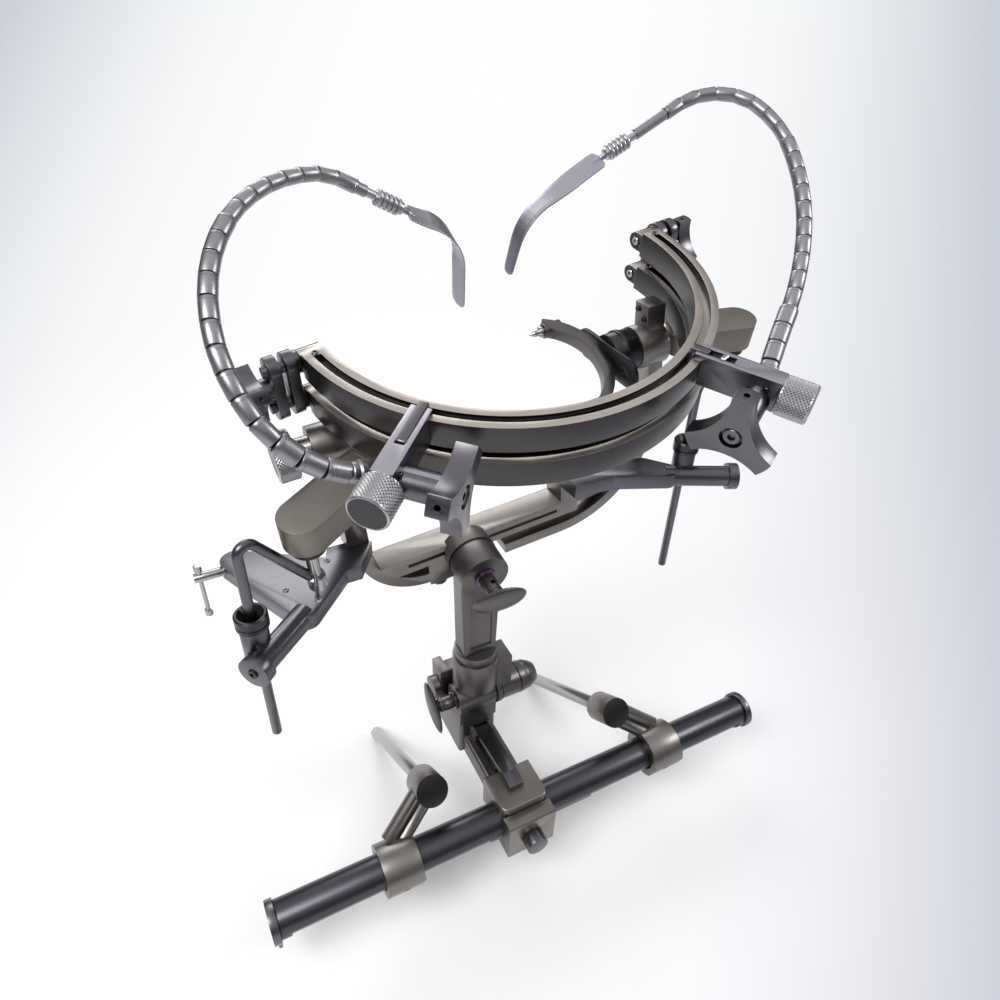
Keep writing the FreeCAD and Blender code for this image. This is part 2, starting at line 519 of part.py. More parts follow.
def half_ring(z_top):
    low = z_top - RING_HIGH
    section = [(RING_IN_R, z_top), (RING_IN_R, low), (RING_R, low), (RING_R, z_top)]
    slot = [(SLOT_R - SLOT_HALF, z_top + 1), (SLOT_R - SLOT_HALF, z_top - SLOT_DEEP),
            (SLOT_R - UNDERCUT_HALF, z_top - SLOT_DEEP), (SLOT_R - UNDERCUT_HALF, z_top - UNDERCUT_DEEP),
            (SLOT_R + UNDERCUT_HALF, z_top - UNDERCUT_DEEP), (SLOT_R + UNDERCUT_HALF, z_top - SLOT_DEEP),
            (SLOT_R + SLOT_HALF, z_top - SLOT_DEEP), (SLOT_R + SLOT_HALF, z_top + 1)]
    ring = turned(section).common(block(-RING_R - 9, RING_R + 9, -RING_R - 9, 0, low - 1, z_top + 1))
    ring = ring.cut(turned(slot))
    pivot_z = z_top - RING_HIGH / 2
    for side in (-1, 1):
        a = min(side * RING_IN_R, side * RING_R)
        b = max(side * RING_IN_R, side * RING_R)
        ring = ring.fuse(block(a, b, -6, PIVOT_Y, low, z_top))
        ring = ring.fuse(rod(V(a, PIVOT_Y, pivot_z), V(b, PIVOT_Y, pivot_z), RING_HIGH / 2))
        bore_end = side * (RING_R - 12)
        ring = ring.cut(rod(V(min(bore_end, side * (RING_R + 10)), PIVOT_Y, pivot_z),
                            V(max(bore_end, side * (RING_R + 10)), PIVOT_Y, pivot_z), 4 + RUN))
    return ring.removeSplitter()


NODES["upper_half_ring"] = put(half_ring(0.0), HALO)
NODES["lower_half_ring"] = put(half_ring(-RING_PITCH), HALO)
PIVOT_TOP = -RING_HIGH / 2
PIVOT_LOW = PIVOT_TOP - RING_PITCH
PIVOT_MID = (PIVOT_TOP + PIVOT_LOW) / 2


def link(side):
    """Two dog-bone plates side by side, seen along the fold axis."""
    x0 = RING_R + 0.3
    pieces = []
    for z in (PIVOT_TOP, PIVOT_LOW):
        pieces.append(rod(V(RING_R - 11.5, PIVOT_Y, z), V(x0 + 24, PIVOT_Y, z), 4))
        pieces.append(rod(V(x0, PIVOT_Y, z), V(x0 + 3, PIVOT_Y, z), 7.5))
    to_x = frame(V(x0 + 3, PIVOT_Y, 0), X, V(0, 0, -1))
    pieces.append(put(slab((-PIVOT_TOP, 0), (-PIVOT_LOW, 0), 9, 0, 7), to_x))
    pieces.append(put(slab((-PIVOT_TOP, 0), (-PIVOT_LOW, 0), 9, 11, 18), to_x))
    body = fuse(*pieces)
    body = body.cut(rod(V(x0 + 10, PIVOT_Y, PIVOT_MID), V(x0 + 30, PIVOT_Y, PIVOT_MID), 4 + RUN))
    return body if side > 0 else body.mirror(V(0, 0, 0), X)


def halo_knob(side):
    x0 = RING_R + 0.3 + 21
    stem = fuse(rod(V(x0 - 10, PIVOT_Y, PIVOT_MID), V(x0 + 6, PIVOT_Y, PIVOT_MID), 4),
                rod(V(x0 + SEAT, PIVOT_Y, PIVOT_MID), V(x0 + 6, PIVOT_Y, PIVOT_MID), 8.5))
    star = put(trilobe(20.0, 12.0, 4.5), frame(V(x0 + 5.9, PIVOT_Y, PIVOT_MID), X, V(0, 1, 0)))
    body = fuse(stem, star)
    return body if side > 0 else body.mirror(V(0, 0, 0), X)


for side, word in ((-1, "left"), (1, "right")):
    NODES[word + "_halo_link"] = put(link(side), HALO)
    NODES[word + "_halo_knob"] = put(halo_knob(side), HALO)


# Halo supports: slab, eye screw, bent rod, collet and frame clamp.
def spoke(deg):
    """Frame on the ring: X outward along the radius, Z along the ring axis."""
    ang = math.radians(deg)
    return HALO.multiply(frame(V(0, 0, 0), Z, V(math.cos(ang), math.sin(ang), 0)))


PAD = 5.0
RING_FLOOR = -RING_PITCH - RING_HIGH
SLAB_TOP = RING_FLOOR - PAD
SLAB_LOW = SLAB_TOP - SLAB_HIGH
EYE_BOSS_R = 8.0


def support_arm(at, reach):
    arm = slab((RING_R + 1, 0), (reach, 0), SLAB_R, SLAB_LOW, SLAB_TOP)
    pad = block(RING_IN_R + 1, RING_R - 1, -12, 12, SLAB_TOP - 1, RING_FLOOR - SEAT)
    hole = rod(V(reach, 0, SLAB_LOW - 1), V(reach, 0, SLAB_LOW + 14), 4 + RUN)
    return put(cut(fuse(arm, pad), hole), at)


def eye_screw(at, reach, eye_z, leg_dir):
    """Screw under the slab with a black collar and an eye for the bent rod."""
    low = eye_z - 6
    body = fuse(rod(V(reach, 0, low), V(reach, 0, SLAB_LOW + 13), 4),
                rod(V(reach, 0, SLAB_LOW - 8), V(reach, 0, SLAB_LOW - SEAT), 11.5),
                rod(V(reach, 0, low), V(reach, 0, eye_z + 7), EYE_BOSS_R))
    body = put(body, at)
    eye = at.multVec(V(reach, 0, eye_z))
    return body.cut(rod(eye - leg_dir * 20, eye, LEG_R + SEAT))


def bent_rod(bottom, bend, eye):
    end = eye - unit(eye - bend) * 0.3
    return fuse(rod(bottom, bend, LEG_R), rod(bend, end, LEG_R))


def frame_clamp(spots, foot_z, tail, leg, jaw, keep_off):
    """Rounded plate gripping the skull clamp, with a round outrigger."""
    plate = prism(spots, foot_z, foot_z + PLATE_THICK)
    for a, b in ((0, 1), (1, 2), (2, 0)):
        plate = plate.fuse(slab(spots[a], spots[b], 10, foot_z, foot_z + PLATE_THICK))
    mid_z = foot_z + PLATE_THICK / 2
    start = V(spots[1][0], spots[1][1], mid_z)
    tip = V(tail[0], tail[1], mid_z)
    out = unit(tip - start)
    parts = [rod(start, tip, 8.5), rod(tip, tip + out * 8, 11),
             rod(V(leg[0], leg[1], foot_z - 2), V(leg[0], leg[1], foot_z + 25), 9),
             prism(jaw, foot_z, foot_z + PLATE_THICK)]
    body = plate.multiFuse(parts).removeSplitter()
    bore = rod(V(leg[0], leg[1], foot_z - 10), V(leg[0], leg[1], foot_z + 40), LEG_R + RUN)
    return cut(body, bore, put(keep_off, SKULL))


def collet_nut(leg, z0, tall):
    nut = rod(V(leg[0], leg[1], z0), V(leg[0], leg[1], z0 + tall), 10.5)
    cup = cone(V(leg[0], leg[1], z0 + tall - 6), V(leg[0], leg[1], z0 + tall + 0.1), LEG_R + RUN, 7.8)
    return cut(nut, rod(V(leg[0], leg[1], z0 - 1), V(leg[0], leg[1], z0 + tall + 1), LEG_R + RUN), cup)


def in_skull(x0, x1, z0, z1):
    deep = SKULL_HALF_DEEP + SEAT
    return block(x0 - SEAT, x1 + SEAT, -deep, deep + 8, z0, z1)


SUPPORTS = {
    "left": dict(at=spoke(LEFT_SUPPORT_DEG), reach=LEFT_SUPPORT_R, eye_z=-115.0, leg=(-194.0, 45.0),
                 bend_z=336.0, end_z=158.0, foot_z=238.0, spots=((-191, 129), (-159, 61), (-130, 91)),
                 tail=(-195.3, 29.0), jaw=((-140, 84), (-112, 84), (-92, 114), (-128, 114)),
                 keep=in_skull(LEFT_ARM_X - POST_HALF, LEFT_ARM_X + 70, -20, 120)),
    "right": dict(at=spoke(RIGHT_SUPPORT_DEG), reach=RIGHT_SUPPORT_R, eye_z=-92.0, leg=(167.3, 80.0),
                  bend_z=334.0, end_z=153.0, foot_z=252.0, spots=((110, 94), (148, 78), (136, 92)),
                  tail=(195.0, 56.0), jaw=((68, 88), (112, 86), (100, 128), (64, 128)),
                  keep=in_skull(40, SILL_END, -20, 60)),
}
for word, s in SUPPORTS.items():
    bend = V(s["leg"][0], s["leg"][1], s["bend_z"])
    eye = s["at"].multVec(V(s["reach"], 0, s["eye_z"]))
    NODES[word + "_support_arm"] = support_arm(s["at"], s["reach"])
    NODES[word + "_eye_screw"] = eye_screw(s["at"], s["reach"], s["eye_z"], unit(eye - bend))
    NODES[word + "_bent_rod"] = bent_rod(V(s["leg"][0], s["leg"][1], s["end_z"]), bend, eye)
    NODES[word + "_frame_clamp"] = frame_clamp(s["spots"], s["foot_z"], s["tail"], s["leg"], s["jaw"],
                                               s["keep"])
    NODES[word + "_collet_nut"] = collet_nut(s["leg"], s["foot_z"] + 25 + SEAT, 10.5)

SCREW_Y = 127.0
t_z = SUPPORTS["left"]["foot_z"] + PLATE_THICK / 2
tapped = rod(V(-210, SCREW_Y, t_z), V(-190, SCREW_Y, t_z), 3.5 + RUN)
NODES["left_frame_clamp"] = NODES["left_frame_clamp"].cut(tapped)
bar_ends = (t_z - 33, t_z + 8)
stops = [rod(V(-216, SCREW_Y, z - 2.4), V(-216, SCREW_Y, z + 2.4), 2.8) for z in bar_ends]
t_screw = fuse(rod(V(-220, SCREW_Y, t_z), V(-190.3, SCREW_Y, t_z), 3.5),
               rod(V(-216, SCREW_Y, bar_ends[0]), V(-216, SCREW_Y, bar_ends[1]), 1.6), *stops)
NODES["left_t_screw"] = t_screw


# Retractor arms.
def bracket(at, side, stub_end, barrel, knuckle):
    """Square bracket on the ring; side is +1 when its barrel points along +Y."""
    body = block(BRACKET_R0, BRACKET_END, -BRACKET_HALF, BRACKET_HALF, BRACKET_Z0, BRACKET_Z1)
    lip = block(BRACKET_R0 - 5, BRACKET_R0 + 1, -BRACKET_HALF, BRACKET_HALF, 0.1, BRACKET_Z1)
    drum_end = V(TENSION_R, side * (BRACKET_HALF + barrel), TENSION_Z)
    drum = rod(V(TENSION_R, 0, TENSION_Z), drum_end, TENSION_BARREL_R)
    body = fuse(body, lip, drum)
    body = body.cut(block(BRACKET_R0 - 6, SLOT_R + 36, -3.1, 3.1, 0.2, 10))
    body = body.cut(rod(V(BRACKET_END - 8, 0, KNOB_Z), V(BRACKET_END + 1, 0, KNOB_Z), 3 + RUN))
    body = body.cut(rod(V(TENSION_R, side * (BRACKET_HALF + barrel - 10), TENSION_Z),
                        V(TENSION_R, side * (BRACKET_HALF + barrel + 1), TENSION_Z), 4 + RUN))
    stub_from = V(TENSION_R, -side * (BRACKET_HALF - 1), TENSION_Z)
    stub = rod(stub_from, V(TENSION_R, stub_end + side * 4.5, TENSION_Z), 5.0)
    return fuse(put(fuse(body, stub), at), knuckle)


def claw(at):
    arm = block(SLOT_R - 1.6, SLOT_R + 34.5, -2.9, 2.9, 0.3, 5.4)
    arm = soften(arm, 2.0, lambda e: runs(e, Y) and middle(e).z > 5)
    stem = block(SLOT_R - 1.6, SLOT_R + 1.8, -2.9, 2.9, -4.0, 1.0)
    foot = block(SLOT_R - 4.2, SLOT_R + 3.9, -2.9, 2.9, -UNDERCUT_DEEP + 0.2, -SLOT_DEEP - 0.15)
    return put(fuse(arm, stem, foot), at)


def clamp_knob(at):
    knob = rod(V(BRACKET_END + 0.3, 0, KNOB_Z), V(BRACKET_END + KNOB_LONG, 0, KNOB_Z), KNOB_R)
    return put(fuse(knob, rod(V(BRACKET_END - 7.5, 0, KNOB_Z), V(BRACKET_END + 1, 0, KNOB_Z), 3)), at)


def tension_knob(at, side, barrel):
    base = BRACKET_HALF + barrel + 0.3
    seat = frame(V(TENSION_R, side * base, TENSION_Z), V(0, side, 0), V(1, 0, 0))
    star = put(trilobe(28.0, 13.0, 7.0), seat)
    stem = rod(V(TENSION_R, side * (base - 10), TENSION_Z), V(TENSION_R, side * (base + 2), TENSION_Z), 4)
    return put(fuse(star, stem), at)


ARMS = {
    "left": dict(at=spoke(LEFT_BRACKET_DEG), side=1, stub=-14.0, barrel=22.0,
                 normal=V(-0.372, 0.535, -0.759), heading=V(-0.896, 0.004, 0.442), tube=6.5,
                 bends=((1, 0.0), (5, 13.0), (3, 8.2), (6, 6.4), (5, 6.4), (2, 17.0)),
                 blade=((44.5, -0.6), (58.1, 56.2)), blade_half=4.5, twist=70.0),
    "right": dict(at=spoke(RIGHT_BRACKET_DEG), side=-1, stub=14.0, barrel=30.0,
                  normal=V(-0.336, -0.263, 0.904), heading=V(0.751, 0.504, 0.426), tube=28.0,
                  bends=((4, -1.0), (5, 3.0), (5, 3.9), (3, 9.0), (4, 19.4), (1, 11.3)),
                  blade=((54.7, 4.1), (22.5, 14.9), (40.2, 40.1)), blade_half=6.0, twist=-70.0),
}
SPLIT = 9
CHUCK_RIBS = 5
CHUCK_LONG = 28.0
SHANK_R = 2.2


def bead_radius(k):
    return 6.2 if k < 5 else (5.3 if k < 14 else 4.6)


def along(ang):
    return V(math.cos(math.radians(ang)), math.sin(math.radians(ang)), 0)


def facet_rod(a, b, ra, rb):
    """Twelve-sided tapered bar from a to b."""
    d = unit(b - a)
    wires = []
    for at, r in ((a, ra), (b, rb)):
        spot = frame(at, d, Z if abs(d.z) < 0.9 else V(1, 0, 0))
        ring = [spot.multVec(along(30 * k + 15) * r) for k in range(12)]
        wires.append(Part.makePolygon(ring + [ring[0]]))
    return Part.makeLoft(wires, True, True)


def chain_points(bends):
    """Ball centres and headings of the beads in the plane of the arm."""
    points, headings = [V(0, 0, 0)], []
    ang = 0.0
    for count, step in bends:
        for _ in range(count):
            ang += step
            headings.append(ang)
            points.append(points[-1] + along(ang) * BEAD)
    return points, headings


def bead_group(points, headings, first, last, ball_end):
    """Beads first..last-1: barrels with necks, a cup at the start and, where
    another group follows, a ball at the end."""
    shape = None
    for k in range(first, last):
        a, b, d = points[k], points[k + 1], along(headings[k])
        r = bead_radius(k)
        start = a - d * 1.0 if k == first else a + d * 0.6
        body = facet_rod(start, b - d * (3.2 if k == last - 1 and ball_end else 1.6), r, r * 0.93)
        shape = body if shape is None else shape.fuse(body)
        if k < last - 1:
            shape = shape.fuse(facet_rod(b - d * 2.0, b + d * 1.2, r * 0.72, r * 0.72))
    if ball_end:
        b, d = points[last], along(headings[last - 1])
        shape = shape.fuse(rod(b - d * 4, b, 2.6)).fuse(rod(b - Z * 3.0, b + Z * 3.0, KNUCKLE_R))
    return shape.removeSplitter()


def strip(legs, half):
    """Flat blade bent in the plane of the arm, with a rounded tip."""
    at = V(0, 0, 0)
    ang = 0.0
    shape = None
    for n, (long, step) in enumerate(legs):
        ang += step
        d = along(ang)
        local = frame(at, Z, d)
        piece = put(block(0, long, -0.6, 0.6, -half, half), local)
        joint = rod(at + V(0, 0, -half), at + V(0, 0, half), 0.6)
        shape = fuse(piece, joint) if shape is None else fuse(shape, piece, joint)
        at = at + d * long
    tip = rod(at + V(-d.y, d.x, 0) * -0.6, at + V(-d.y, d.x, 0) * 0.6, half)
    return fuse(shape, tip)


for word, a in ARMS.items():
    at = a["at"]
    side = a["side"]
    base = at.multVec(V(TENSION_R, a["stub"], TENSION_Z))
    a["plane"] = frame(base, turn_vec(HALO, a["normal"]), turn_vec(HALO, a["heading"]))
    plane = a["plane"]
    knuckle = put(rod(V(0, 0, -5), V(0, 0, 5), BASE_KNUCKLE_R), plane)
    NODES[word + "_bracket"] = bracket(at, side, a["stub"], a["barrel"], knuckle)
    NODES[word + "_claw"] = claw(at)
    NODES[word + "_clamp_knob"] = clamp_knob(at)
    NODES[word + "_tension_knob"] = tension_knob(at, side, a["barrel"])
    points, headings = chain_points(a["bends"])
    count = len(headings)
    cup = rod(V(0, 0, -5.3), V(0, 0, 5.3), BASE_KNUCKLE_R + RUN)
    first = bead_group(points, headings, 0, SPLIT, True)
    d0 = along(headings[0])
    first = first.fuse(facet_rod(d0 * 2.5, d0 * 9, 7.2, 7.2)).cut(block(-3, 2.5, -9, 9, -9, 9)).cut(cup)
    NODES[word + "_base_beads"] = put(first, plane)
    second = bead_group(points, headings, SPLIT, count, False)
    second = second.cut(rod(points[SPLIT] - Z * 3.2, points[SPLIT] + Z * 3.2, KNUCKLE_R + RUN))
    end, d = points[count], along(headings[-1])
    second = second.fuse(rod(end - d * 3, end + d * a["tube"], 4.3)).removeSplitter()
    NODES[word + "_tip_beads"] = put(second, plane)
    nose = end + d * (a["tube"] + SEAT)
    ribs = [facet_rod(V(0, 0, 8 + 3.6 * k), V(0, 0, 10.6 + 3.6 * k), 5.8, 5.8) for k in range(CHUCK_RIBS)]
    chuck = fuse(Part.makeCylinder(3, 10), facet_rod(V(0, 0, 9), V(0, 0, CHUCK_LONG), 4.6, 4.2), *ribs)
    chuck = chuck.cut(Part.makeCylinder(SHANK_R + RUN, 20, V(0, 0, CHUCK_LONG - 12)))
    NODES[word + "_chuck"] = put(put(chuck, frame(nose, d, Z)), plane)
    shank = nose + d * (CHUCK_LONG - 12 + SEAT)
    twist = math.radians(a["twist"])
    across = Z * math.cos(twist) + d.cross(Z) * math.sin(twist)
    blade = put(strip(a["blade"], a["blade_half"]), frame(shank + d * 16, across, d))
    blade = fuse(blade, rod(shank, shank + d * 17, SHANK_R))
    NODES[word + "_blade"] = put(blade, plane)

# Write the pieces.
MOUNT_AT = head_centre(-1) + HEAD_DIR * MOUNT_FROM_HEAD
for name, shape in NODES.items():
    solid = shape.copy()
    solid.translate(MOUNT_AT * -1)
    if len(solid.Solids) != 1:
        print("solids", name, len(solid.Solids))
    solid.exportStep("parts/" + name + ".step")
print("pieces", len(NODES))
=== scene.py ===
# %% [markdown]
# # A brain retractor in Blender
# The real object is a surgeon's holder: a bar clamps to the operating table, a
# jointed post carries a skull clamp, and a ring above it holds two bead-chain
# arms with thin blades. The CAD solids give every size and place. This lesson
# dresses them: it softens their edges, models the small work again in finer
# form, and gives each metal its finish.

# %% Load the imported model
import json, math
import bpy
from mathutils import Matrix, Vector


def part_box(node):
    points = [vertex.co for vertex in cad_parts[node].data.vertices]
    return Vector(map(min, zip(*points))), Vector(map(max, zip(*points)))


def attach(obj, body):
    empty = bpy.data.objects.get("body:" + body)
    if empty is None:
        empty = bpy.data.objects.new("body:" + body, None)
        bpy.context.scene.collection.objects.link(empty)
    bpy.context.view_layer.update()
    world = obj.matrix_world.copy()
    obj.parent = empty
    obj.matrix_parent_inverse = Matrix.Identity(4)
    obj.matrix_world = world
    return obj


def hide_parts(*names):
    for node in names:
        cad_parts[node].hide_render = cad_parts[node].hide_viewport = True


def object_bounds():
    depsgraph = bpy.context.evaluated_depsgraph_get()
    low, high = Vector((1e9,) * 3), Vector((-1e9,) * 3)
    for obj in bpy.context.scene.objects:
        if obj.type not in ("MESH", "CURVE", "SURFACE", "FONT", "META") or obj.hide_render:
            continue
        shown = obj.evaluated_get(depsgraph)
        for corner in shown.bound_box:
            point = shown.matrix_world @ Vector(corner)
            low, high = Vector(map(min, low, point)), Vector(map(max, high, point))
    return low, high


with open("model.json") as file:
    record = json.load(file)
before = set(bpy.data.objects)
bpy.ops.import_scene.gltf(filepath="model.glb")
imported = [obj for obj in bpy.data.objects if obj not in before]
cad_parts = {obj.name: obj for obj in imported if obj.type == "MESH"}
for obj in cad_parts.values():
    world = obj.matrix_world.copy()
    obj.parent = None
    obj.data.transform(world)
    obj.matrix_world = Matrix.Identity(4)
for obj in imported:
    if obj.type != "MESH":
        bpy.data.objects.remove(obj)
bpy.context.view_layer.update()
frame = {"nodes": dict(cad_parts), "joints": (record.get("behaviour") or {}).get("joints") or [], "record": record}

MM = 0.001
UP, ALONG_BAR = (0, 0, 1), (1, 0, 0)
SIDES = ("left", "right")
JOINTS = {j["name"]: j for j in frame["joints"]}

# %% [markdown]
# ## Small helpers
# An edit-mode operator acts on whatever is selected, so every new piece starts
# with nothing selected, and faces are then chosen in code by where they lie or
# which way they look. A finished piece has its place in its mesh, as the CAD
# nodes have. Sizes are given in millimetres.


# %% Selecting, placing and applying
def start_clean():
    if bpy.context.object and bpy.context.object.mode == "EDIT":
        bpy.ops.object.mode_set(mode="OBJECT")
    bpy.ops.object.select_all(action="DESELECT")


def only(piece):
    start_clean()
    piece.select_set(True)
    bpy.context.view_layer.objects.active = piece


def edit(piece, mode="FACE"):
    only(piece)
    bpy.ops.object.mode_set(mode="EDIT")
    bpy.ops.mesh.select_mode(type=mode)


def done():
    bpy.ops.object.mode_set(mode="OBJECT")


def pick(piece, mode, parts, test):
    """Select the mesh's parts that pass the test, and leave edit mode on."""
    edit(piece, mode)
    bpy.ops.mesh.select_all(action="DESELECT")
    done()
    for part in getattr(piece.data, parts):
        part.select = test(part)
    bpy.ops.object.mode_set(mode="EDIT")


def pick_faces(piece, test):
    pick(piece, "FACE", "polygons", test)


def pick_points(piece, test):
    pick(piece, "VERT", "vertices", lambda point: test(point.co))


def pick_edges(piece, test):
    def passes(line):
        return test(*(piece.data.vertices[k].co for k in line.vertices))

    pick(piece, "EDGE", "edges", passes)


def settle(piece):
    """Put the object's own place into its mesh."""
    only(piece)
    bpy.ops.object.transform_apply(location=True, rotation=True, scale=True)


def finish_with(piece, kind, **settings):
    only(piece)
    change = piece.modifiers.new(kind.lower(), kind)
    for key, value in settings.items():
        setattr(change, key, value)
    bpy.ops.object.modifier_apply(modifier=change.name)


def bevel(piece, width, segments, degrees):
    """Round off every edge that is sharper than this."""
    finish_with(piece, "BEVEL", width=width * MM, segments=segments, limit_method="ANGLE",
                angle_limit=math.radians(degrees), use_clamp_overlap=True)


def smooth(piece, degrees):
    only(piece)
    bpy.ops.object.shade_smooth_by_angle(angle=math.radians(degrees))


def outward(piece):
    edit(piece)
    bpy.ops.mesh.select_all(action="SELECT")
    bpy.ops.mesh.remove_doubles(threshold=0.000002)
    bpy.ops.mesh.normals_make_consistent(inside=False)
    done()


def mm(x, y, z):
    return Vector((x * MM, y * MM, z * MM))


def way(degrees):
    """The level direction at this angle from X."""
    return Vector((math.cos(math.radians(degrees)), math.sin(math.radians(degrees)), 0))


def seat(origin, z_way, x_way):
    """The matrix whose Z runs along z_way and whose X lies towards x_way."""
    z = Vector(z_way).normalized()
    x = Vector(x_way)
    x = (x - z * x.dot(z)).normalized()
    y = z.cross(x)
    turn = Matrix((x, y, z)).transposed().to_4x4()
    return Matrix.Translation(Vector(origin)) @ turn


def joint_at(name):
    return Vector(JOINTS[name]["pos_m"])


def joint_way(name):
    return Vector(JOINTS[name]["axis"])


def on_joint(name, x_way, off=0.0, facing=1):
    """A seat this far along a joint's axis, which looks along it (1) or back (-1)."""
    return seat(joint_at(name) + joint_way(name) * off * MM, joint_way(name) * facing, x_way)


def place(piece, where):
    piece.matrix_world = where @ piece.matrix_world
    settle(piece)


print("helpers ready")

# %% [markdown]
# ## Finishes as small sums
# A shader is a sum of a few patterns. Wrapping a socket in a class lets the
# recipe be read as arithmetic, and one method makes every other node.


# %% A socket that knows arithmetic, and a finish to put it in
class Wire:
    def __init__(self, finish, socket):
        self.finish, self.socket = finish, socket

    def sum_of(self, how, a, b):
        return self.finish.make("ShaderNodeMath", {"operation": how}, {0: a, 1: b})

    def __add__(self, other):
        return self.sum_of("ADD", self, other)

    def __radd__(self, other):
        return self.sum_of("ADD", other, self)

    def __sub__(self, other):
        return self.sum_of("SUBTRACT", self, other)

    def __mul__(self, other):
        return self.sum_of("MULTIPLY", self, other)

    def __rmul__(self, other):
        return self.sum_of("MULTIPLY", other, self)

    def __truediv__(self, other):
        return self.sum_of("DIVIDE", self, other)

    def __gt__(self, other):
        return self.sum_of("GREATER_THAN", self, other)


class Finish:
    def __init__(self, name, metallic=1.0, roughness=0.4):
        self.material = bpy.data.materials.new(name)
        self.material.use_nodes = True
        self.tree = self.material.node_tree
        self.tree.nodes.clear()
        self.shader = self.tree.nodes.new("ShaderNodeBsdfPrincipled")
        out = self.tree.nodes.new("ShaderNodeOutputMaterial")
        self.tree.links.new(self.shader.outputs[0], out.inputs[0])
        self.shader.inputs["Metallic"].default_value = metallic
        self.shader.inputs["Roughness"].default_value = roughness

    def make(self, kind, settings=None, sockets=None, out=0):
        node = self.tree.nodes.new(kind)
        for key, value in (settings or {}).items():
            if key == "stops":
                ramp = node.color_ramp.elements
                while len(ramp) < len(value):
                    ramp.new(0.5)
                for stop, (at, colour) in zip(ramp, value):
                    stop.position, stop.color = at, (*colour, 1)
            else:
                setattr(node, key, value)
        for key, value in (sockets or {}).items():
            self.give(node.inputs[key], value)
        return Wire(self, node.outputs[out])

    def give(self, socket, value):
        if isinstance(value, Wire):
            self.tree.links.new(value.socket, socket)
        elif isinstance(value, tuple) and len(value) == 3 and socket.type == "RGBA":
            socket.default_value = (*value, 1)
        else:
            socket.default_value = value

    def where(self):
        return self.make("ShaderNodeTexCoord", out="Object")

    def noise(self, scale, detail, at):
        return self.make("ShaderNodeTexNoise", None,
                         {"Vector": at, "Scale": scale, "Detail": detail}, "Fac")

    def mix(self, amount, a, b):
        return self.make("ShaderNodeMix", {"data_type": "RGBA"}, {0: amount, 6: a, 7: b}, 2)

    def ramp(self, value, stops):
        return self.make("ShaderNodeValToRGB", {"stops": stops}, {0: value}, 0)

    def set(self, **values):
        for key, value in values.items():
            self.give(self.shader.inputs[key.replace("_", " ")], value)

    def relief(self, height, depth, strength=0.5):
        self.set(Normal=self.make("ShaderNodeBump", None, {
            "Height": height, "Distance": depth, "Strength": strength}))


print("finish class ready")

# %% [markdown]
# ## The metals
# The post, clamp and slabs are bead-blasted alloy with a fine speckle. Knobs,
# brackets and bent rods are satin steel, and screws and table rods are polished.
# Beads and blades are smooth and matt, because relief would sparkle on them. The
# rings have dark sides and a paler top, a shaded and a lit copy of one steel:
# painted shade and a painted highlight, as on the brackets' paler tops. Collars
# and the index plate are black-oxided; the black seams and the dark flat end faces
# are painted shade. Each is a tint that drifts with slow clouds, a roughness that
# drifts with finer ones, and a shallow relief; handling marks are thin scratches
# made from stretched noise.


# %% One recipe for every metal, and the list of finishes
CLOUD = 25.0
SCRATCH_TURN, SCRATCH_SCALE, SCRATCH_ABOVE = (0.5, 0.3, 0.9), (30, 700, 700), 0.66
GRAIN_IN_ROUGHNESS, SCRATCH_IN_RELIEF = 0.06, 0.4


def metal(name, tint, rough, drift=0.12, grain=900.0, depth=0.00004, marks=0.10, metallic=1.0):
    """The relief's depth is in metres, and 0 leaves the metal smooth."""
    f = Finish(name, metallic)
    at = f.where()
    slow = f.noise(CLOUD, 4, at)
    fine = f.noise(grain, 2, at)
    stretched = f.make("ShaderNodeMapping", None, {
        "Vector": at, "Rotation": SCRATCH_TURN, "Scale": SCRATCH_SCALE})
    scratch = f.noise(1.0, 2, stretched) > SCRATCH_ABOVE
    dark = tuple(c * (1 - drift) for c in tint)
    light = tuple(min(1.0, c * (1 + drift)) for c in tint)
    f.set(Base_Color=f.mix(slow, dark, light))
    f.set(Roughness=rough - 0.5 * marks + marks * slow + GRAIN_IN_ROUGHNESS * fine
          + 0.5 * marks * scratch)
    if depth:
        f.relief(fine + SCRATCH_IN_RELIEF * scratch, depth)
    return f.material


FINISHES = {
    "blasted": metal("blasted alloy", (0.150, 0.140, 0.135), 0.34, grain=1800, depth=0.00009),
    "pale": metal("pale alloy", (0.235, 0.220, 0.205), 0.33, grain=1800, depth=0.00008),
    "satin": metal("satin steel", (0.140, 0.134, 0.146), 0.28),
    "polished": metal("polished steel", (0.42, 0.41, 0.41), 0.19, 0.06, depth=0.00001, marks=0.06),
    "bead": metal("bead steel", (0.31, 0.30, 0.315), 0.34, 0.10, depth=0, marks=0.05),
    "blade": metal("blade steel", (0.38, 0.36, 0.40), 0.36, 0.08, depth=0, marks=0.06),
    # The next two finishes are a shaded and a lit copy of one steel: painted shade on the rings' sides, a painted
    # highlight on their upward faces.
    "ring": metal("ring steel", (0.075, 0.070, 0.071), 0.28, 0.18),
    "ring_top_painted_highlight": metal("ring top", (0.44, 0.405, 0.37), 0.36, 0.18, grain=1400, depth=0.00009),
    "black": metal("black oxide", (0.020, 0.019, 0.021), 0.34, 0.3, metallic=0.6),
    "dark": metal("dark steel", (0.060, 0.057, 0.061), 0.30, 0.15),
    "speckled": metal("speckled slab", (0.235, 0.215, 0.19), 0.45, 0.2, grain=1100, depth=0.00016),
    "bar": metal("bar steel", (0.075, 0.075, 0.085), 0.30, 0.10),
    "knurl": metal("knurled steel", (0.46, 0.45, 0.46), 0.30, 0.08, marks=0.05),
    "washer": metal("violet washer", (0.16, 0.11, 0.19), 0.28),
}
print("finishes", len(FINISHES))

# %% [markdown]
# ## Turned work
# Most small pieces come off a lathe: beads, chucks, screws, hubs, rods. A
# circle is extruded ring by ring and each new ring is scaled to its radius,
# which is how a turner would read the drawing from one end to the other.


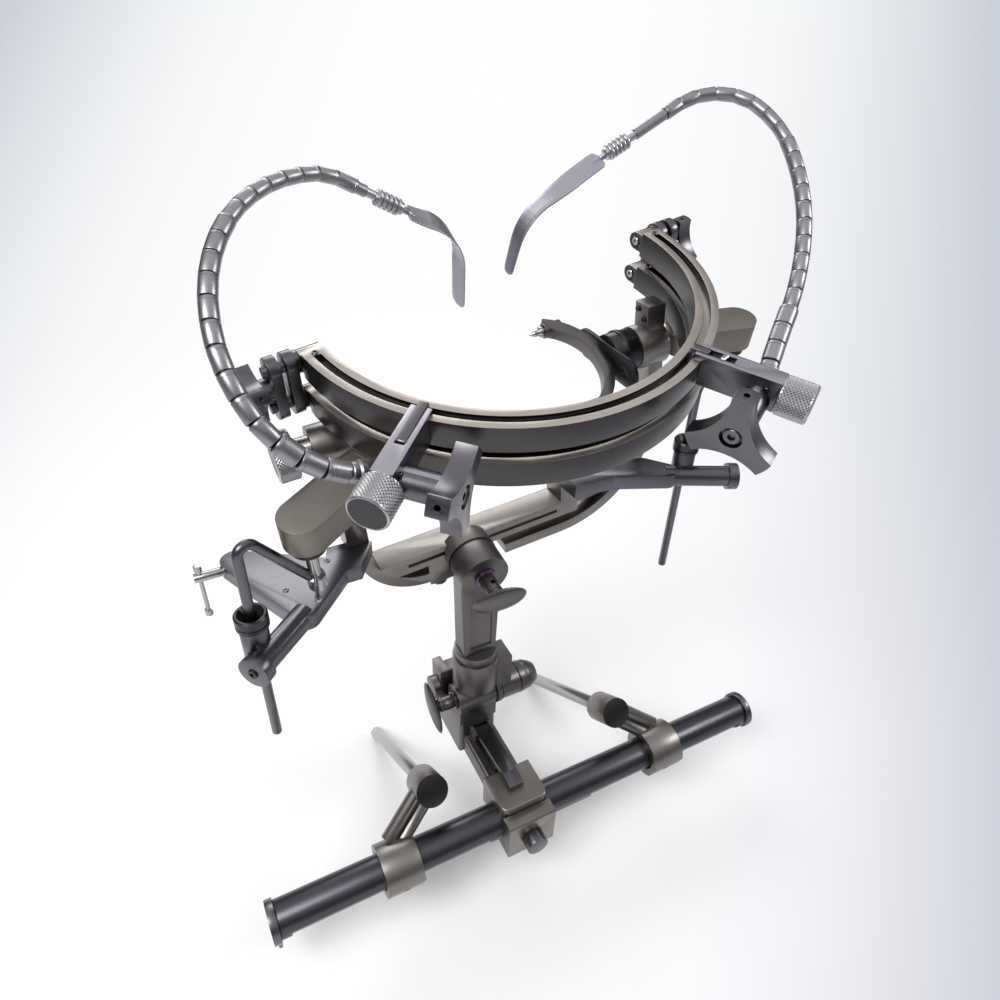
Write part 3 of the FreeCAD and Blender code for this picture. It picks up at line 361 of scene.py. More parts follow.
# %% A lathe, copies, joining and handing a piece to its body
def turned(name, profile, count=48):
    """A closed round piece about Z from (height, radius) pairs in millimetres."""
    start_clean()
    height, radius = profile[0]
    bpy.ops.mesh.primitive_circle_add(vertices=count, radius=radius * MM,
                                      location=(0, 0, height * MM), fill_type="NGON")
    piece = bpy.context.object
    piece.name = name
    settle(piece)
    edit(piece)
    bpy.ops.mesh.select_all(action="SELECT")
    for (z0, r0), (z1, r1) in zip(profile, profile[1:]):
        bpy.ops.mesh.extrude_region_move(TRANSFORM_OT_translate={"value": (0, 0, (z1 - z0) * MM)})
        bpy.ops.transform.resize(value=(r1 / r0, r1 / r0, 1), center_override=(0, 0, z1 * MM))
    done()
    outward(piece)
    return piece


def copied(piece):
    twin = piece.copy()
    twin.data = piece.data.copy()
    bpy.context.scene.collection.objects.link(twin)
    return twin


def joined(pieces, name):
    start_clean()
    for piece in pieces:
        piece.select_set(True)
    bpy.context.view_layer.objects.active = pieces[0]
    if len(pieces) > 1:
        bpy.ops.object.join()
    pieces[0].name = name
    return pieces[0]


def discard(piece):
    bpy.data.objects.remove(piece)


def carve(piece, *tools):
    for tool in tools:
        finish_with(piece, "BOOLEAN", operation="DIFFERENCE", object=tool, solver="EXACT")
        discard(tool)
    return piece


def use_second_finish(piece):
    """Give the picked faces the piece's second finish, and leave edit mode."""
    piece.active_material_index = 1
    bpy.ops.object.material_slot_assign()
    done()


def paint(piece, finish, test):
    """Paint the faces that pass the test with a finish of their own: a highlight on tops, shade elsewhere."""
    piece.data.materials.append(FINISHES[finish])
    pick_faces(piece, test)
    use_second_finish(piece)


def body_with(node):
    return next(b for b, ns in frame["record"]["behaviour"]["bodies"].items() if node in ns)


MODELLED = set()


def hand_over(piece, finish, *nodes, body=None, angle=35):
    """Finish a piece, let it stand in for its nodes and ride their body, or the one named."""
    if finish:
        piece.data.materials.clear()
        piece.data.materials.append(FINISHES[finish])
    smooth(piece, angle)
    if nodes:
        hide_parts(*nodes)
        MODELLED.update(nodes)
    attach(piece, body or body_with(nodes[0]))
    return piece


print("lathe ready")

# %% [markdown]
# ## Diamond knurling
# The clamp knobs and the pressure wheel are rolled with a diamond knurl. A
# cylinder's upright edges are cut into short lengths, and every second corner of
# that grid is pushed out. Each square is then split along its shorter, lower
# diagonal, so that every raised corner is a small four-sided point.


# %% Knurled drum with a recessed end painted dark as shade
END_IN, END_UP = 0.06, 0.6          # chamfer of both ends: share of the radius, millimetres
WALL, RECESS = 0.02, 0.25           # round the dark face: share of the radius, millimetres
FREE_GAP = 0.3                      # between a knob and what it turns on


def knurled(name, radius, long, columns, rows, raised=0.5, dish=0.03):
    start_clean()
    bpy.ops.mesh.primitive_cylinder_add(vertices=columns, radius=radius * MM, depth=long * MM,
                                        location=(0, 0, long * MM / 2))
    drum = bpy.context.object
    drum.name = name
    settle(drum)
    drum.data.materials.append(FINISHES["knurl"])
    # Second finish: the recessed end face is painted dark as shade.
    drum.data.materials.append(FINISHES["dark"])
    pick_edges(drum, lambda a, b: abs(a.z - b.z) > long * MM / 2)
    bpy.ops.mesh.subdivide(number_cuts=rows)
    done()
    step = long / (rows + 1)

    def is_point(co):
        row = round(co.z / MM / step)
        column = round((math.atan2(co.y, co.x) % math.tau) / math.tau * columns)
        return 0 < row <= rows and (row + column) % 2 == 0

    pick_points(drum, is_point)
    grow = 1 + raised / radius
    bpy.ops.transform.resize(value=(grow, grow, 1), center_override=(0, 0, 0))
    done()
    pick_faces(drum, lambda f: abs(f.normal.z) < 0.5)
    bpy.ops.mesh.quads_convert_to_tris(quad_method="SHORTEST_DIAGONAL", ngon_method="BEAUTY")
    done()
    pick_faces(drum, lambda f: abs(f.normal.z) > 0.95 and len(f.vertices) > 8)
    bpy.ops.mesh.inset(thickness=radius * END_IN * MM, depth=END_UP * MM, use_individual=True)
    done()
    pick_faces(drum, lambda f: f.normal.z > 0.95 and f.center.z > (long - 0.2) * MM)
    bpy.ops.mesh.inset(thickness=radius * dish * MM, depth=0)
    bpy.ops.mesh.inset(thickness=radius * WALL * MM, depth=-RECESS * MM)
    use_second_finish(drum)
    return drum


for word in SIDES:
    grip = knurled(word + "_knurled_knob", radius=12.4, long=19.0, columns=64, rows=15)
    place(grip, on_joint(word + "_clamp_knob_turn", UP, FREE_GAP))
    hand_over(grip, None, word + "_clamp_knob", angle=4)
wheel = knurled("pressure_wheel", radius=17.2, long=13.4, columns=88, rows=11, dish=0.2)
place(wheel, on_joint("pressure_knob_turn", UP, 3.6, facing=-1))
hand_over(wheel, None, "torque_knob", angle=4)
print("knurled knobs 3")

# %% [markdown]
# ## Lobed knobs
# Four star knobs tighten the halo and the chains. Each is a disc from which
# three large rounds are taken, which leaves three lobes, each with a small
# hole in its tip. A narrow bevel follows, and a socket screw sits in the middle.


# %% Star knob and socket screw
CUT_FAR, CUT_R = 1.754, 1.294                           # shares of the reach, as the next ones
TIP_HOLE_R, SEAT_R, SCREW_R = 0.07, 0.25, 0.19
HUB_TOP = 2.2


def rounds(radius, depth, at, count=64, z=0.0):
    """An upright cylinder round (x, y, z), to be carved away."""
    start_clean()
    bpy.ops.mesh.primitive_cylinder_add(vertices=count, radius=radius * MM, depth=depth * MM,
                                        location=mm(at[0], at[1], z))
    tool = bpy.context.object
    settle(tool)
    return tool


def socket_screw(radius, high, key=0.5):
    head = turned("screw", [(0, radius), (high - 0.4, radius), (high, radius - 0.4)], 32)
    return carve(head, rounds(radius * key, high, (0, 0), 6, high))


def star_knob(name, reach, thick):
    knob = turned(name, [(0, reach - 0.1), (thick, reach)], 96)
    tools = [rounds(reach * CUT_R, thick * 3, way(30 + 120 * k) * reach * CUT_FAR, 160, thick / 2)
             for k in range(3)]
    for k in range(3):
        out = way(90 + 120 * k)
        tip = rounds(reach * TIP_HOLE_R, reach * 0.5, (0, 0), 24)
        place(tip, seat(out * reach * MM + mm(0, 0, thick * 0.5), out, UP))
        tools.append(tip)
    tools.append(rounds(reach * SEAT_R, thick * 0.7, (0, 0), 48, thick))
    carve(knob, *tools)
    bevel(knob, 1.0, 3, 40)
    screw = socket_screw(reach * SCREW_R, thick * 0.3)
    place(screw, Matrix.Translation(mm(0, 0, thick * 0.62)))
    return joined([knob, screw], name)


for word in SIDES:
    star = star_knob(word + "_chain_star", reach=28.0, thick=13.0)
    place(star, on_joint(word + "_tension_knob_turn", joint_way(word + "_claw_slide"), FREE_GAP))
    hand_over(star, "satin", word + "_tension_knob")
    hinge = word + "_halo_grip_turn"
    star = star_knob(word + "_fold_star", reach=20.0, thick=12.0)
    place(star, Matrix.Translation(mm(0, 0, HUB_TOP)))
    hub = turned("hub", [(-3.6, 8.5), (1.8, 8.5), (HUB_TOP, 8.1)])
    star = joined([star, hub], word + "_fold_star")
    lobe_way = joint_way(word + "_bracket_travel").cross(joint_way(hinge))
    place(star, on_joint(hinge, lobe_way, facing=-1 if word == "left" else 1))
    hand_over(star, "satin", word + "_halo_knob")
print("star knobs 4")

# %% [markdown]
# ## Bead chains
# Each arm is a string of barrel beads on a cable, thick at the root and
# slimmer towards the tip. One bead is turned and copied along the arm's list
# of bends, which lies in one slanted plane.

# %% The arms' planes and bends
HALO_AT, HALO_Z = joint_at("left_bracket_travel"), joint_way("left_bracket_travel")
HALO_X = -joint_way("halo_fold")
HALO = seat(HALO_AT, HALO_Z, HALO_X)
BEAD = 14.0             # from one bead to the next
SPLIT = 9               # beads on the base string
NECK_R = 3.9
# Start is the chain's first heading in the halo's frame, and bends are (beads, degrees between
# them). The neck carries the chuck. The blade's legs are (length, bend, twist), with twist the
# turn of its root.
ARMS = {
    "left": {
        "start": (-0.896, 0.004, 0.442), "neck": 6.5,
        "bends": ((1, 0.0), (5, 13.0), (3, 8.2), (6, 6.4), (5, 6.4), (2, 17.0)),
        "legs": ((18.2, -9.8, 8.0), (44.6, 67.0, -26.4), (36.3, 1.0, 2.0)),
        "half_width": 8.7, "twist": 73.6},
    "right": {
        "start": (0.751, 0.504, 0.426), "neck": 28.0,
        "bends": ((4, -1.0), (5, 3.0), (5, 3.9), (3, 9.0), (4, 19.4), (1, 11.3)),
        "legs": ((29.2, 6.6, 0.0), (25.0, -2.1, 14.0), (36.2, 45.6, 12.0), (20.3, 1.5, 3.7)),
        "half_width": 8.6, "twist": -84.0},
}


def stations(bends):
    """The beads' places and headings in the arm's plane, with one more place at the end."""
    points, headings, angle = [Vector((0, 0, 0))], [], 0.0
    for count, step in bends:
        for _ in range(count):
            angle += step
            headings.append(angle)
            points.append(points[-1] + way(angle) * BEAD)
    return points, headings


for word, arm in ARMS.items():
    arm["plane"] = on_joint(word + "_base_bend", HALO.to_3x3() @ Vector(arm["start"]))
    arm["points"], arm["headings"] = stations(arm["bends"])
    print(word, "beads", len(arm["headings"]))


def along(point, heading):
    """Matrix that lays a turned piece from this point of the plane, in millimetres."""
    return seat(point * MM, way(heading), UP)


# %% Turn the beads, the bell at the root and the chucks
def bead(radius):
    """A 13.2 mm barrel with a fine turned line near its end, and a neck painted black as shade."""
    shape = ((-0.3, 0.86), (0.1, 0.86), (0.15, 0.96), (0.5, 1.0), (10.9, 1.0), (11.05, 0.965),
             (11.4, 0.965), (11.55, 1.0), (13.2, 0.99), (13.55, 0.95), (13.6, 0.86), (13.95, 0.86))
    one = turned("bead", [(z, radius * share) for z, share in shape], 32)
    one.data.materials.append(FINISHES["bead"])
    # The neck faces are painted black: painted shade in the seam between beads.
    paint(one, "black", lambda f: f.center.z < 0.05 * MM or f.center.z > 13.62 * MM)
    return one


def bell():
    return turned("bell", [(3.2, 5.2), (3.6, 6.6), (4.6, 7.2), (8.2, 7.2), (8.9, 6.6), (9.3, 6.0),
                           (11.0, 6.2), (12.6, 5.9), (13.2, 5.2), (14.0, 4.2)], 40)


def chuck():
    profile = [(0, 3.0), (7.0, 3.0), (7.6, 4.4)]
    for k in range(5):
        z = 8.0 + 3.6 * k
        profile += [(z, 4.6), (z + 0.3, 5.5), (z + 0.9, 5.8), (z + 1.9, 5.8), (z + 2.5, 5.5),
                    (z + 2.8, 4.6)]
    return turned("chuck", profile + [(26.0, 4.5), (27.6, 4.2), (28.0, 3.6)], 40)


# %% String the beads and set the chucks
PATTERNS = {radius: bead(radius) for radius in (6.2, 5.2, 4.7)}
for word, arm in ARMS.items():
    end, last_way = arm["points"][-1], arm["headings"][-1]
    strings = {"base": [], "tip": []}
    for k, (point, heading) in enumerate(zip(arm["points"], arm["headings"])):
        if k:
            one = copied(PATTERNS[6.2 if k < 4 else (5.2 if k < 14 else 4.7)])
        else:
            one = bell()
            one.data.materials.append(FINISHES["bead"])
        place(one, along(point, heading))
        strings["base" if k < SPLIT else "tip"].append(one)
    neck = turned("neck", [(-4.0, NECK_R), (arm["neck"], NECK_R)], 32)
    neck.data.materials.append(FINISHES["bead"])
    place(neck, along(end, last_way))
    strings["tip"].append(neck)
    for group, beads in strings.items():
        string = joined(beads, word + "_" + group + "_string")
        place(string, arm["plane"])
        hand_over(string, None, word + "_" + group + "_beads")
    nut = chuck()
    place(nut, arm["plane"] @ along(end + way(last_way) * arm["neck"], last_way))
    hand_over(nut, "knurl", word + "_chuck")
for pattern in PATTERNS.values():
    discard(pattern)
print("chains strung")

# %% [markdown]
# ## Blades
# A blade is a thin malleable strip on a round shank. A flat grid is laid along
# a line that bends and twists leg by leg, its width rounds off at both ends,
# and it is then given its thickness and a softened edge.

# %% Draw the ribbons
STEPS = 8                       # stations in each leg
SHANK, NOSE_TO_BLADE = 16.0, 32.0
END_ROUND = 3.5


def ribbon_line(legs, ahead, across):
    """Stations (place, width direction) of a strip whose legs are (length, bend, twist)."""
    at, line = Vector((0, 0, 0)), [(Vector((0, 0, 0)), across)]
    for long, bend, twist in legs:
        for _ in range(STEPS):
            ahead = Matrix.Rotation(math.radians(bend / STEPS), 3, across) @ ahead
            across = Matrix.Rotation(math.radians(twist / STEPS), 3, ahead) @ across
            at = at + ahead * long / STEPS
            line.append((at, across))
    return line


def width_share(share, long):
    """The strip's width at this share of its length; the far end is the rounder one."""
    from_end = long * min(share, 0.6 * (1 - share))
    return 0.3 + 0.7 * math.sqrt(max(0.0, 1 - max(0.0, 1 - from_end / END_ROUND) ** 2))


def ribbon(legs, line, half_width, root):
    """A grid from -1 to 1 laid along the line: its X is the length, its Y the width."""
    last, long = len(line) - 1, sum(leg[0] for leg in legs)
    start_clean()
    bpy.ops.mesh.primitive_grid_add(x_subdivisions=last * 3, y_subdivisions=4, size=2)
    strip = bpy.context.object
    for point in strip.data.vertices:
        share = (point.co.x + 1) / 2
        k = min(int(share * last), last - 1)
        (here, side), (there, far_side) = line[k], line[k + 1]
        side = side.lerp(far_side, share * last - k)
        spot = here.lerp(there, share * last - k)
        point.co = (root + spot + side * half_width * width_share(share, long) * point.co.y) * MM
    finish_with(strip, "SOLIDIFY", thickness=1.1 * MM, offset=0)
    bevel(strip, 0.25, 2, 50)
    return strip


for word, arm in ARMS.items():
    heading = arm["headings"][-1]
    ahead = way(heading)
    root = arm["points"][-1] + ahead * (arm["neck"] + NOSE_TO_BLADE)
    across = Matrix.Rotation(math.radians(arm["twist"]), 3, ahead) @ Vector(UP)
    line = ribbon_line(arm["legs"], ahead, across)
    parts = [ribbon(arm["legs"], line, arm["half_width"], root),
             turned("shank", [(-SHANK, 2.2), (0.5, 2.2), (1.0, 1.8)], 24)]
    place(parts[1], along(root, heading))
    for side in (-0.85, 0.85):
        prong = turned("prong", [(-1.0, 0.95), (7.0, 0.85), (9.0, 0.4)], 16)
        place(prong, Matrix.Translation(across * side * MM) @ along(root, heading))
        parts.append(prong)
    blade = joined(parts, word + "_ribbon")
    outward(blade)
    place(blade, arm["plane"])
    hand_over(blade, "blade", word + "_blade", angle=50)
    print(word, "ribbon stations", len(line))

# %% [markdown]
# ## Grips and bent rods
# The two locking grips are flat lens-shaped paddles on a hub with a cross
# hole. The halo's rods are satin bar with one clean bend, made by spinning
# the rod's end round a centre beside it.


# %% Paddle grips
def paddle_grip(word, node, hub_to, paddle_at, washer_r, where):
    lens = turned("lens", [(-3.5, 3.0), (-3.3, 6.0), (-2.4, 9.0), (-1.2, 11.2), (0, 12.0),
                           (1.2, 11.2), (2.4, 9.0), (3.3, 6.0), (3.5, 3.0)], 64)
    pick_points(lens, lambda co: True)
    bpy.ops.transform.resize(value=(1, 1.95, 1), center_override=(0, 0, 0))
    done()
    place(lens, Matrix.Translation(mm(0, 0, paddle_at)))
    hub = turned("hub", [(2.4, 6.0), (4.0, 6.6), (hub_to - 4.6, 6.6), (hub_to - 4.2, 6.1),
                         (hub_to - 3.6, 6.1), (hub_to - 3.2, 6.6), (hub_to - 1.6, 6.6),
                         (hub_to, 5.0), (paddle_at - 2.0, 4.6)], 48)
    hole = rounds(2.1, 30, (0, 0), 32)
    place(hole, seat(mm(0, 0, hub_to * 0.5), (1, 0, 0), UP))
    carve(hub, hole)
    grip = joined([hub, lens], word + "_paddle")
    place(grip, where)
    hand_over(grip, "blasted", node)
    ring = turned(word + "_washer", [(0.05, washer_r - 0.4), (0.4, washer_r), (2.0, washer_r),
                                     (2.4, washer_r - 0.4)], 48)
    place(ring, where)
    hand_over(ring, "washer", body=body_with(node))


paddle_grip("elbow", "elbow_handle", 17.0, 21.0, 8.5,
            seat(joint_at("elbow_grip_turn") - mm(4.0, 0, 0), (-1, 0, 0), (0, -0.66, 0.75)))
paddle_grip("swivel", "swivel_handle", 22.0, 25.0, 9.0,
            on_joint("swivel_grip_turn", (0.1, 0, 1), off=-16.0, facing=-1))
print("grips 2")

# %% Bent rods
BAR_AT = joint_at("clamp_tilt")
ROD_R, BEND_R = 3.4, 6.0
# Where each rod meets its hanging screw: angle and reach on the halo, and height below it.
EYES = {"left": (201.0, 207.0, -115.0), "right": (338.6, 195.0, -92.0)}
# The rod's bend and its foot, as heights over the bar.
RODS = {"left": (336.0, 158.0), "right": (334.0, 153.0)}
for word, (bend_high, low) in RODS.items():
    leg = joint_at(word + "_collet_turn")
    foot = Vector((leg.x, leg.y, BAR_AT.z + low * MM))
    bend = Vector((leg.x, leg.y, BAR_AT.z + bend_high * MM))
    degrees, reach, deep = EYES[word]
    sloped = HALO @ (way(degrees) * reach * MM + mm(0, 0, deep)) - bend
    turned_by = math.acos(sloped.normalized().z)
    lead = BEND_R * MM * math.tan(turned_by / 2)
    start_clean()
    bpy.ops.mesh.primitive_circle_add(vertices=40, radius=ROD_R * MM, location=(0, 0, 0),
                                      fill_type="NGON")
    rod = bpy.context.object
    edit(rod)
    bpy.ops.mesh.select_all(action="SELECT")
    top = (bend - foot).length - lead
    bpy.ops.mesh.extrude_region_move(TRANSFORM_OT_translate={"value": (0, 0, top)})
    bpy.ops.mesh.spin(steps=10, angle=-turned_by, center=(BEND_R * MM, 0, top), axis=(0, 1, 0))
    onward = Vector((math.sin(turned_by), 0, math.cos(turned_by)))
    onward *= sloped.length - lead - 0.4 * MM
    bpy.ops.mesh.extrude_region_move(TRANSFORM_OT_translate={"value": onward})
    done()
    outward(rod)
    pick_faces(rod, lambda f: len(f.vertices) > 8)
    bpy.ops.mesh.bevel(offset=0.6 * MM, segments=2, affect="EDGES")
    done()
    place(rod, seat(foot, UP, sloped))
    rod.name = word + "_bar_bent"
    hand_over(rod, "satin", word + "_bent_rod")
    print(word, "rod bends", round(math.degrees(turned_by)), "degrees")

# %% [markdown]
# ## Screws and teeth
# Small socket screws hold the links, posts and plates. One is turned, given its
# six-sided recess, and copied wherever the real object has one. The round faces
# that lock by friction carry a starburst of fine radial teeth.

# %% Socket screws
SCREW = socket_screw(3.4, 2.2)
SMALL = socket_screw(2.2, 1.4)


def screws(name, finish, body, spots, pattern=SCREW):
    """Copies of the screw at (place, outward direction) pairs."""
    heads = []
    for at, out in spots:
        head = copied(pattern)
        place(head, seat(at, out, UP if abs(Vector(out).z) < 0.9 else (1, 0, 0)))
        heads.append(head)
    return hand_over(joined(heads, name), finish, body=body)


# %% Screws of the rings and brackets
RINGS = {"upper": (0.0, "halo_top"), "lower": (-28.0, "halo_base")}     # top face, body
RING_IN_R, RING_OUT_R, RING_HIGH = 134.0, 150.0, 18.7
RING_MID_R = (RING_IN_R + RING_OUT_R) / 2
PIVOT_Y, LUG_R, LUG_Z = 7.0, 6.6, -8.8
LINK_OUT_X, LINK_SCREW_Z, LUG_SCREW_X = 171.3, -9.35, 135.5

spots = [(HALO @ mm(side * LINK_OUT_X, PIVOT_Y, top + LINK_SCREW_Z), HALO_X * side)
         for side in (-1, 1) for top, _ in RINGS.values()]
screws("link_screws", "satin", "halo_base", spots)
for word, (top, body) in RINGS.items():
    spots = [(HALO @ mm(side * LUG_SCREW_X, PIVOT_Y, top + LUG_Z), HALO_X * -side)
             for side in (-1, 1)]
    screws(word + "_lug_screws", "polished", body, spots)
    spots = [(HALO @ mm(side * RING_MID_R, -3.5, top - 0.4), HALO_Z) for side in (-1, 1)]
    screws(word + "_ring_screws", "satin", body, spots, SMALL)
for word, side in (("left", 1), ("right", -1)):
    root = seat(HALO_AT, HALO_Z, joint_way(word + "_claw_slide"))
    spots = [(root @ mm(193, 6.5 * side, -3), root.to_3x3() @ Vector((0, side, 0)))]
    screws(word + "_bracket_screws", "dark", body_with(word + "_bracket"), spots, SMALL)
print("ring screws placed")

# %% Screws of the post, the table arms and the skull clamp's plate
COLLAR_HALF, COLLAR_FLAT_R = 15.5, 19.4
FLAT = Vector((0, -0.93, -0.37)).normalized()
PLATE_TOP, BOSS_R = 249.2, 7.2

LOCK = seat(joint_at("rail_lock_turn"), joint_way("rail_lock_turn"), joint_way("rail_slide"))
SKULL = LOCK @ Matrix.Translation(mm(23, 0, 22))
spots = [(SKULL @ mm(166.6, y, z), SKULL.to_3x3() @ Vector((-1, 0, 0)))
         for y, z in ((4, 160), (-4, 154))]
screws("post_screws", "dark", "rail", spots, SMALL)
for word in SIDES:
    low, high = (Vector(c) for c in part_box(word + "_table_arm"))
    middle = low.x + COLLAR_HALF * MM if word == "left" else high.x - COLLAR_HALF * MM
    spots = [(Vector((middle, BAR_AT.y, BAR_AT.z)) + FLAT * COLLAR_FLAT_R * MM, FLAT)]
    screws(word + "_collar_screw", "dark", body_with(word + "_table_arm"), spots, SMALL)
spots = [(BAR_AT + mm(x, y, PLATE_TOP), UP) for x, y in ((-171, 122), (-149, 82), (-115, 100))]
screws("plate_plugs", "satin", "skull_clamp", spots, SMALL)
for word, boss, out in (("left", (-178.3, 29.0, 244), (-0.75, -0.66, 0)),
                        ("right", (212.0, 56.0, 258), (0.906, -0.424, 0))):
    out = Vector(out).normalized()
    spots = [(BAR_AT + mm(*boss) + out * BOSS_R * MM, out)]
    screws(word + "_boss_screw", "dark", "skull_clamp", spots)
discard(SCREW)
discard(SMALL)
print("screws placed")

# %% [markdown]
# The two halves of the swivel lock on radial teeth, seen as a fine serrated
# line round the drum. Thin black rings on the elbow are painted shade in its grooves.


# %% Starburst teeth and seams
def starburst(name, inner, outer, teeth, deep=0.7):
    """A thin toothed washer about Z, its teeth looking up."""
    start_clean()
    bpy.ops.mesh.primitive_circle_add(vertices=teeth * 2, radius=outer * MM, fill_type="NGON")
    ring = bpy.context.object
    edit(ring)
    bpy.ops.mesh.select_all(action="SELECT")
    bpy.ops.mesh.extrude_region_move(TRANSFORM_OT_translate={"value": (0, 0, 1.2 * MM)})
    bpy.ops.mesh.inset(thickness=(outer - inner) * MM, depth=0)
    done()

    def is_tooth(co):
        radius = math.hypot(co.x, co.y)
        column = round((math.atan2(co.y, co.x) % math.tau) / math.tau * teeth * 2)
        return co.z > 1.1 * MM and column % 2 == 0 and radius > inner * 0.9 * MM

    pick_points(ring, is_tooth)
    bpy.ops.transform.translate(value=(0, 0, deep * MM))
    done()
    ring.name = name
    outward(ring)
    return ring


teeth = starburst("swivel_teeth", inner=15.0, outer=20.45, teeth=46)
place(teeth, on_joint("skull_clamp_roll", ALONG_BAR, off=7.4))
hand_over(teeth, "black", body="upright", angle=4)
# Black rings: painted shade in the elbow's grooves.
for k, (offset, radius) in enumerate(((32.0, 15.6), (37.6, 14.9), (57.0, 14.8))):
    seam = turned("seam", [(0, radius - 0.3), (0.2, radius), (1.0, radius),
                           (1.2, radius - 0.3)], 64)
    place(seam, seat(joint_at("elbow_tilt") + mm(offset, 0, 0), ALONG_BAR, UP))
    seam.name = "elbow_seam_" + str(k)
    hand_over(seam, "black", body="elbow")
print("seams placed")

# %% [markdown]
# ## Collet nuts and hanging screws
# A round nut with a funnel mouth grips each bent rod. Under each slab a black
# collar holds a bright upright screw with a thin cross bar.

# %% Nuts
for word in SIDES:
    at = joint_at(word + "_collet_turn")
    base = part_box(word + "_collet_nut")[0][2]
    nut = turned("nut", [(0, 9.6), (0.6, 10.5), (3.0, 10.5), (3.3, 9.8), (4.1, 9.8), (4.4, 10.5),
                         (9.5, 10.5), (10.5, 9.6)], 64)
    carve(nut, turned("funnel", [(-1.0, 3.6), (4.2, 3.6), (10.6, 8.4)], 64))
    nut.name = word + "_nut"
    place(nut, Matrix.Translation((at.x, at.y, base)))
    hand_over(nut, "dark", word + "_collet_nut")

# %% Hanging screws
SLAB_UNDER = -73.7          # the slabs' lower face, in the halo's frame
for word, (degrees, reach, deep) in EYES.items():
    root = HALO @ Matrix.Translation(way(degrees) * reach * MM)
    collar = turned("collar", [(SLAB_UNDER - 8, 10.4), (SLAB_UNDER - 7, 11.5),
                               (SLAB_UNDER - 1, 11.5), (SLAB_UNDER - 0.02, 11.0)], 48)
    place(collar, root)
    collar.name = word + "_screw_collar"
    hand_over(collar, "black", body=body_with(word + "_eye_screw"))
    low = deep - 5.8
    pin = turned("pin", [(low, 5.2), (low + 0.8, 6.0), (deep + 5.5, 6.0), (deep + 6.5, 4.0),
                         (SLAB_UNDER + 6, 4.0)], 40)
    cross = turned("cross", [(-24, 1.0), (-23.2, 2.1), (-20, 2.1), (-19.2, 1.5), (19.2, 1.5),
                             (20, 2.1), (23.2, 2.1), (24, 1.0)], 24)
    place(cross, seat(mm(0, 0, deep + 9), (0.35, 0.94, 0), UP))
    hanging = joined([pin, cross], word + "_hanging_screw")
    place(hanging, root)
    hand_over(hanging, "polished", word + "_eye_screw")
print("nuts and hanging screws placed")

# %% [markdown]
# ## Dressing the solids
# A CAD solid has knife-sharp edges, and real machined edges catch the light in
# a thin line. A merged copy of the solid gets a narrow bevel and smooth
# shading, and it then stands in for the solid. What the solids leave plain is
# carved from the copy first: the rings end in small round lugs, and the right
# claw has an open pocket.

# %% Which finish each solid takes
WEARS = {
    "crossbar": "bar", "clamp_bolt": "satin", "cam_lever": "satin", "left_end_cap": "satin",
    "right_end_cap": "satin", "index_plate": "black", "clamp_block": "pale", "clamp_jaw": "pale",
    "left_frame_clamp": "satin", "right_frame_clamp": "satin", "skull_frame": "pale",
    "extension_rail": "pale", "rocker_hub": "dark", "rocker_arm": "blasted",
    "rail_lock_screw": "satin", "left_table_rod": "polished", "right_table_rod": "polished",
    "torque_sleeve": "polished", "left_t_screw": "polished",
}
KINDS = (("half_ring", "ring"), ("support_arm", "speckled"), ("pin", "polished"),
         ("table_arm", "pale"), ("link", "satin"), ("bracket", "satin"), ("claw", "satin"))


def finish_for(node):
    if node in WEARS:
        return WEARS[node]
    return next((finish for word, finish in KINDS if word in node), "blasted")


# %% Faces painted with light and shade
DRUM_WAY = Vector((0, -math.cos(math.radians(36)), math.sin(math.radians(36))))
DRUM_ABOVE_BAR = 30


def looks_up(face):
    """Upward faces, the groove's floor included, get the paler top finish: a painted highlight."""
    return face.normal.dot(HALO_Z) > 0.98


def is_drum_end(face):
    """The table arm's drum has a flat end, looking back along the rod, painted dark as shade."""
    return face.normal.dot(DRUM_WAY) > 0.995 and face.center.z > BAR_AT.z + DRUM_ABOVE_BAR * MM


# Paler tops of rings and brackets are a painted highlight; the drum's dark end is painted shade.
PAINTED_LIGHT_AND_SHADE = (("half_ring", "ring_top_painted_highlight", looks_up), ("bracket", "blade", looks_up),
                   ("table_arm", "dark", is_drum_end))


# %% Tools that carve the ring ends and the pocket
CLAW_AT = seat(HALO_AT, HALO_Z, joint_way("right_claw_slide"))
POCKET = (152.5, 180), (-4, 4), (1.2, 7)
POCKET_FILL = (169.5, 178.2), (-3.05, 3.05), (1.4, 4.5)


def brick(*spans):
    """A box from three (low, high) spans in millimetres."""
    start_clean()
    middle = [(a + b) / 2 * MM for a, b in spans]
    sizes = [abs(b - a) * MM for a, b in spans]
    bpy.ops.mesh.primitive_cube_add(size=1, location=middle, scale=sizes)
    box = bpy.context.object
    settle(box)
    return box


def ring_end_tools(top):
    """What is cut from a ring's two ends to leave a small round lug with a screw recess."""
    tools, z = [], top + LUG_Z
    for side in (-1, 1):
        inner, outer = side * (RING_IN_R - 2), side * (RING_OUT_R + 2)
        waste = brick((inner, outer), (0.5, 18), (top - RING_HIGH - 2, top + 2))
        lug = rounds(LUG_R, 30, (0, 0))
        place(lug, seat(mm(side * RING_MID_R, PIVOT_Y, z), (1, 0, 0), UP))
        neck = brick((inner - side, outer + side), (-1, PIVOT_Y), (z - LUG_R, z + LUG_R))
        recess = rounds(4.4, 3.2, (0, 0), 40)
        place(recess, seat(mm(side * RING_IN_R, PIVOT_Y, z), (1, 0, 0), UP))
        tools += [carve(waste, lug, neck), recess]
    for tool in tools:
        place(tool, HALO)
    return tools


def tools_for(node):
    if "half_ring" in node:
        return ring_end_tools(RINGS[node.split("_")[0]][0])
    if node == "right_claw":
        pocket = brick(*POCKET)
        place(pocket, CLAW_AT)
        return [pocket]
    return []


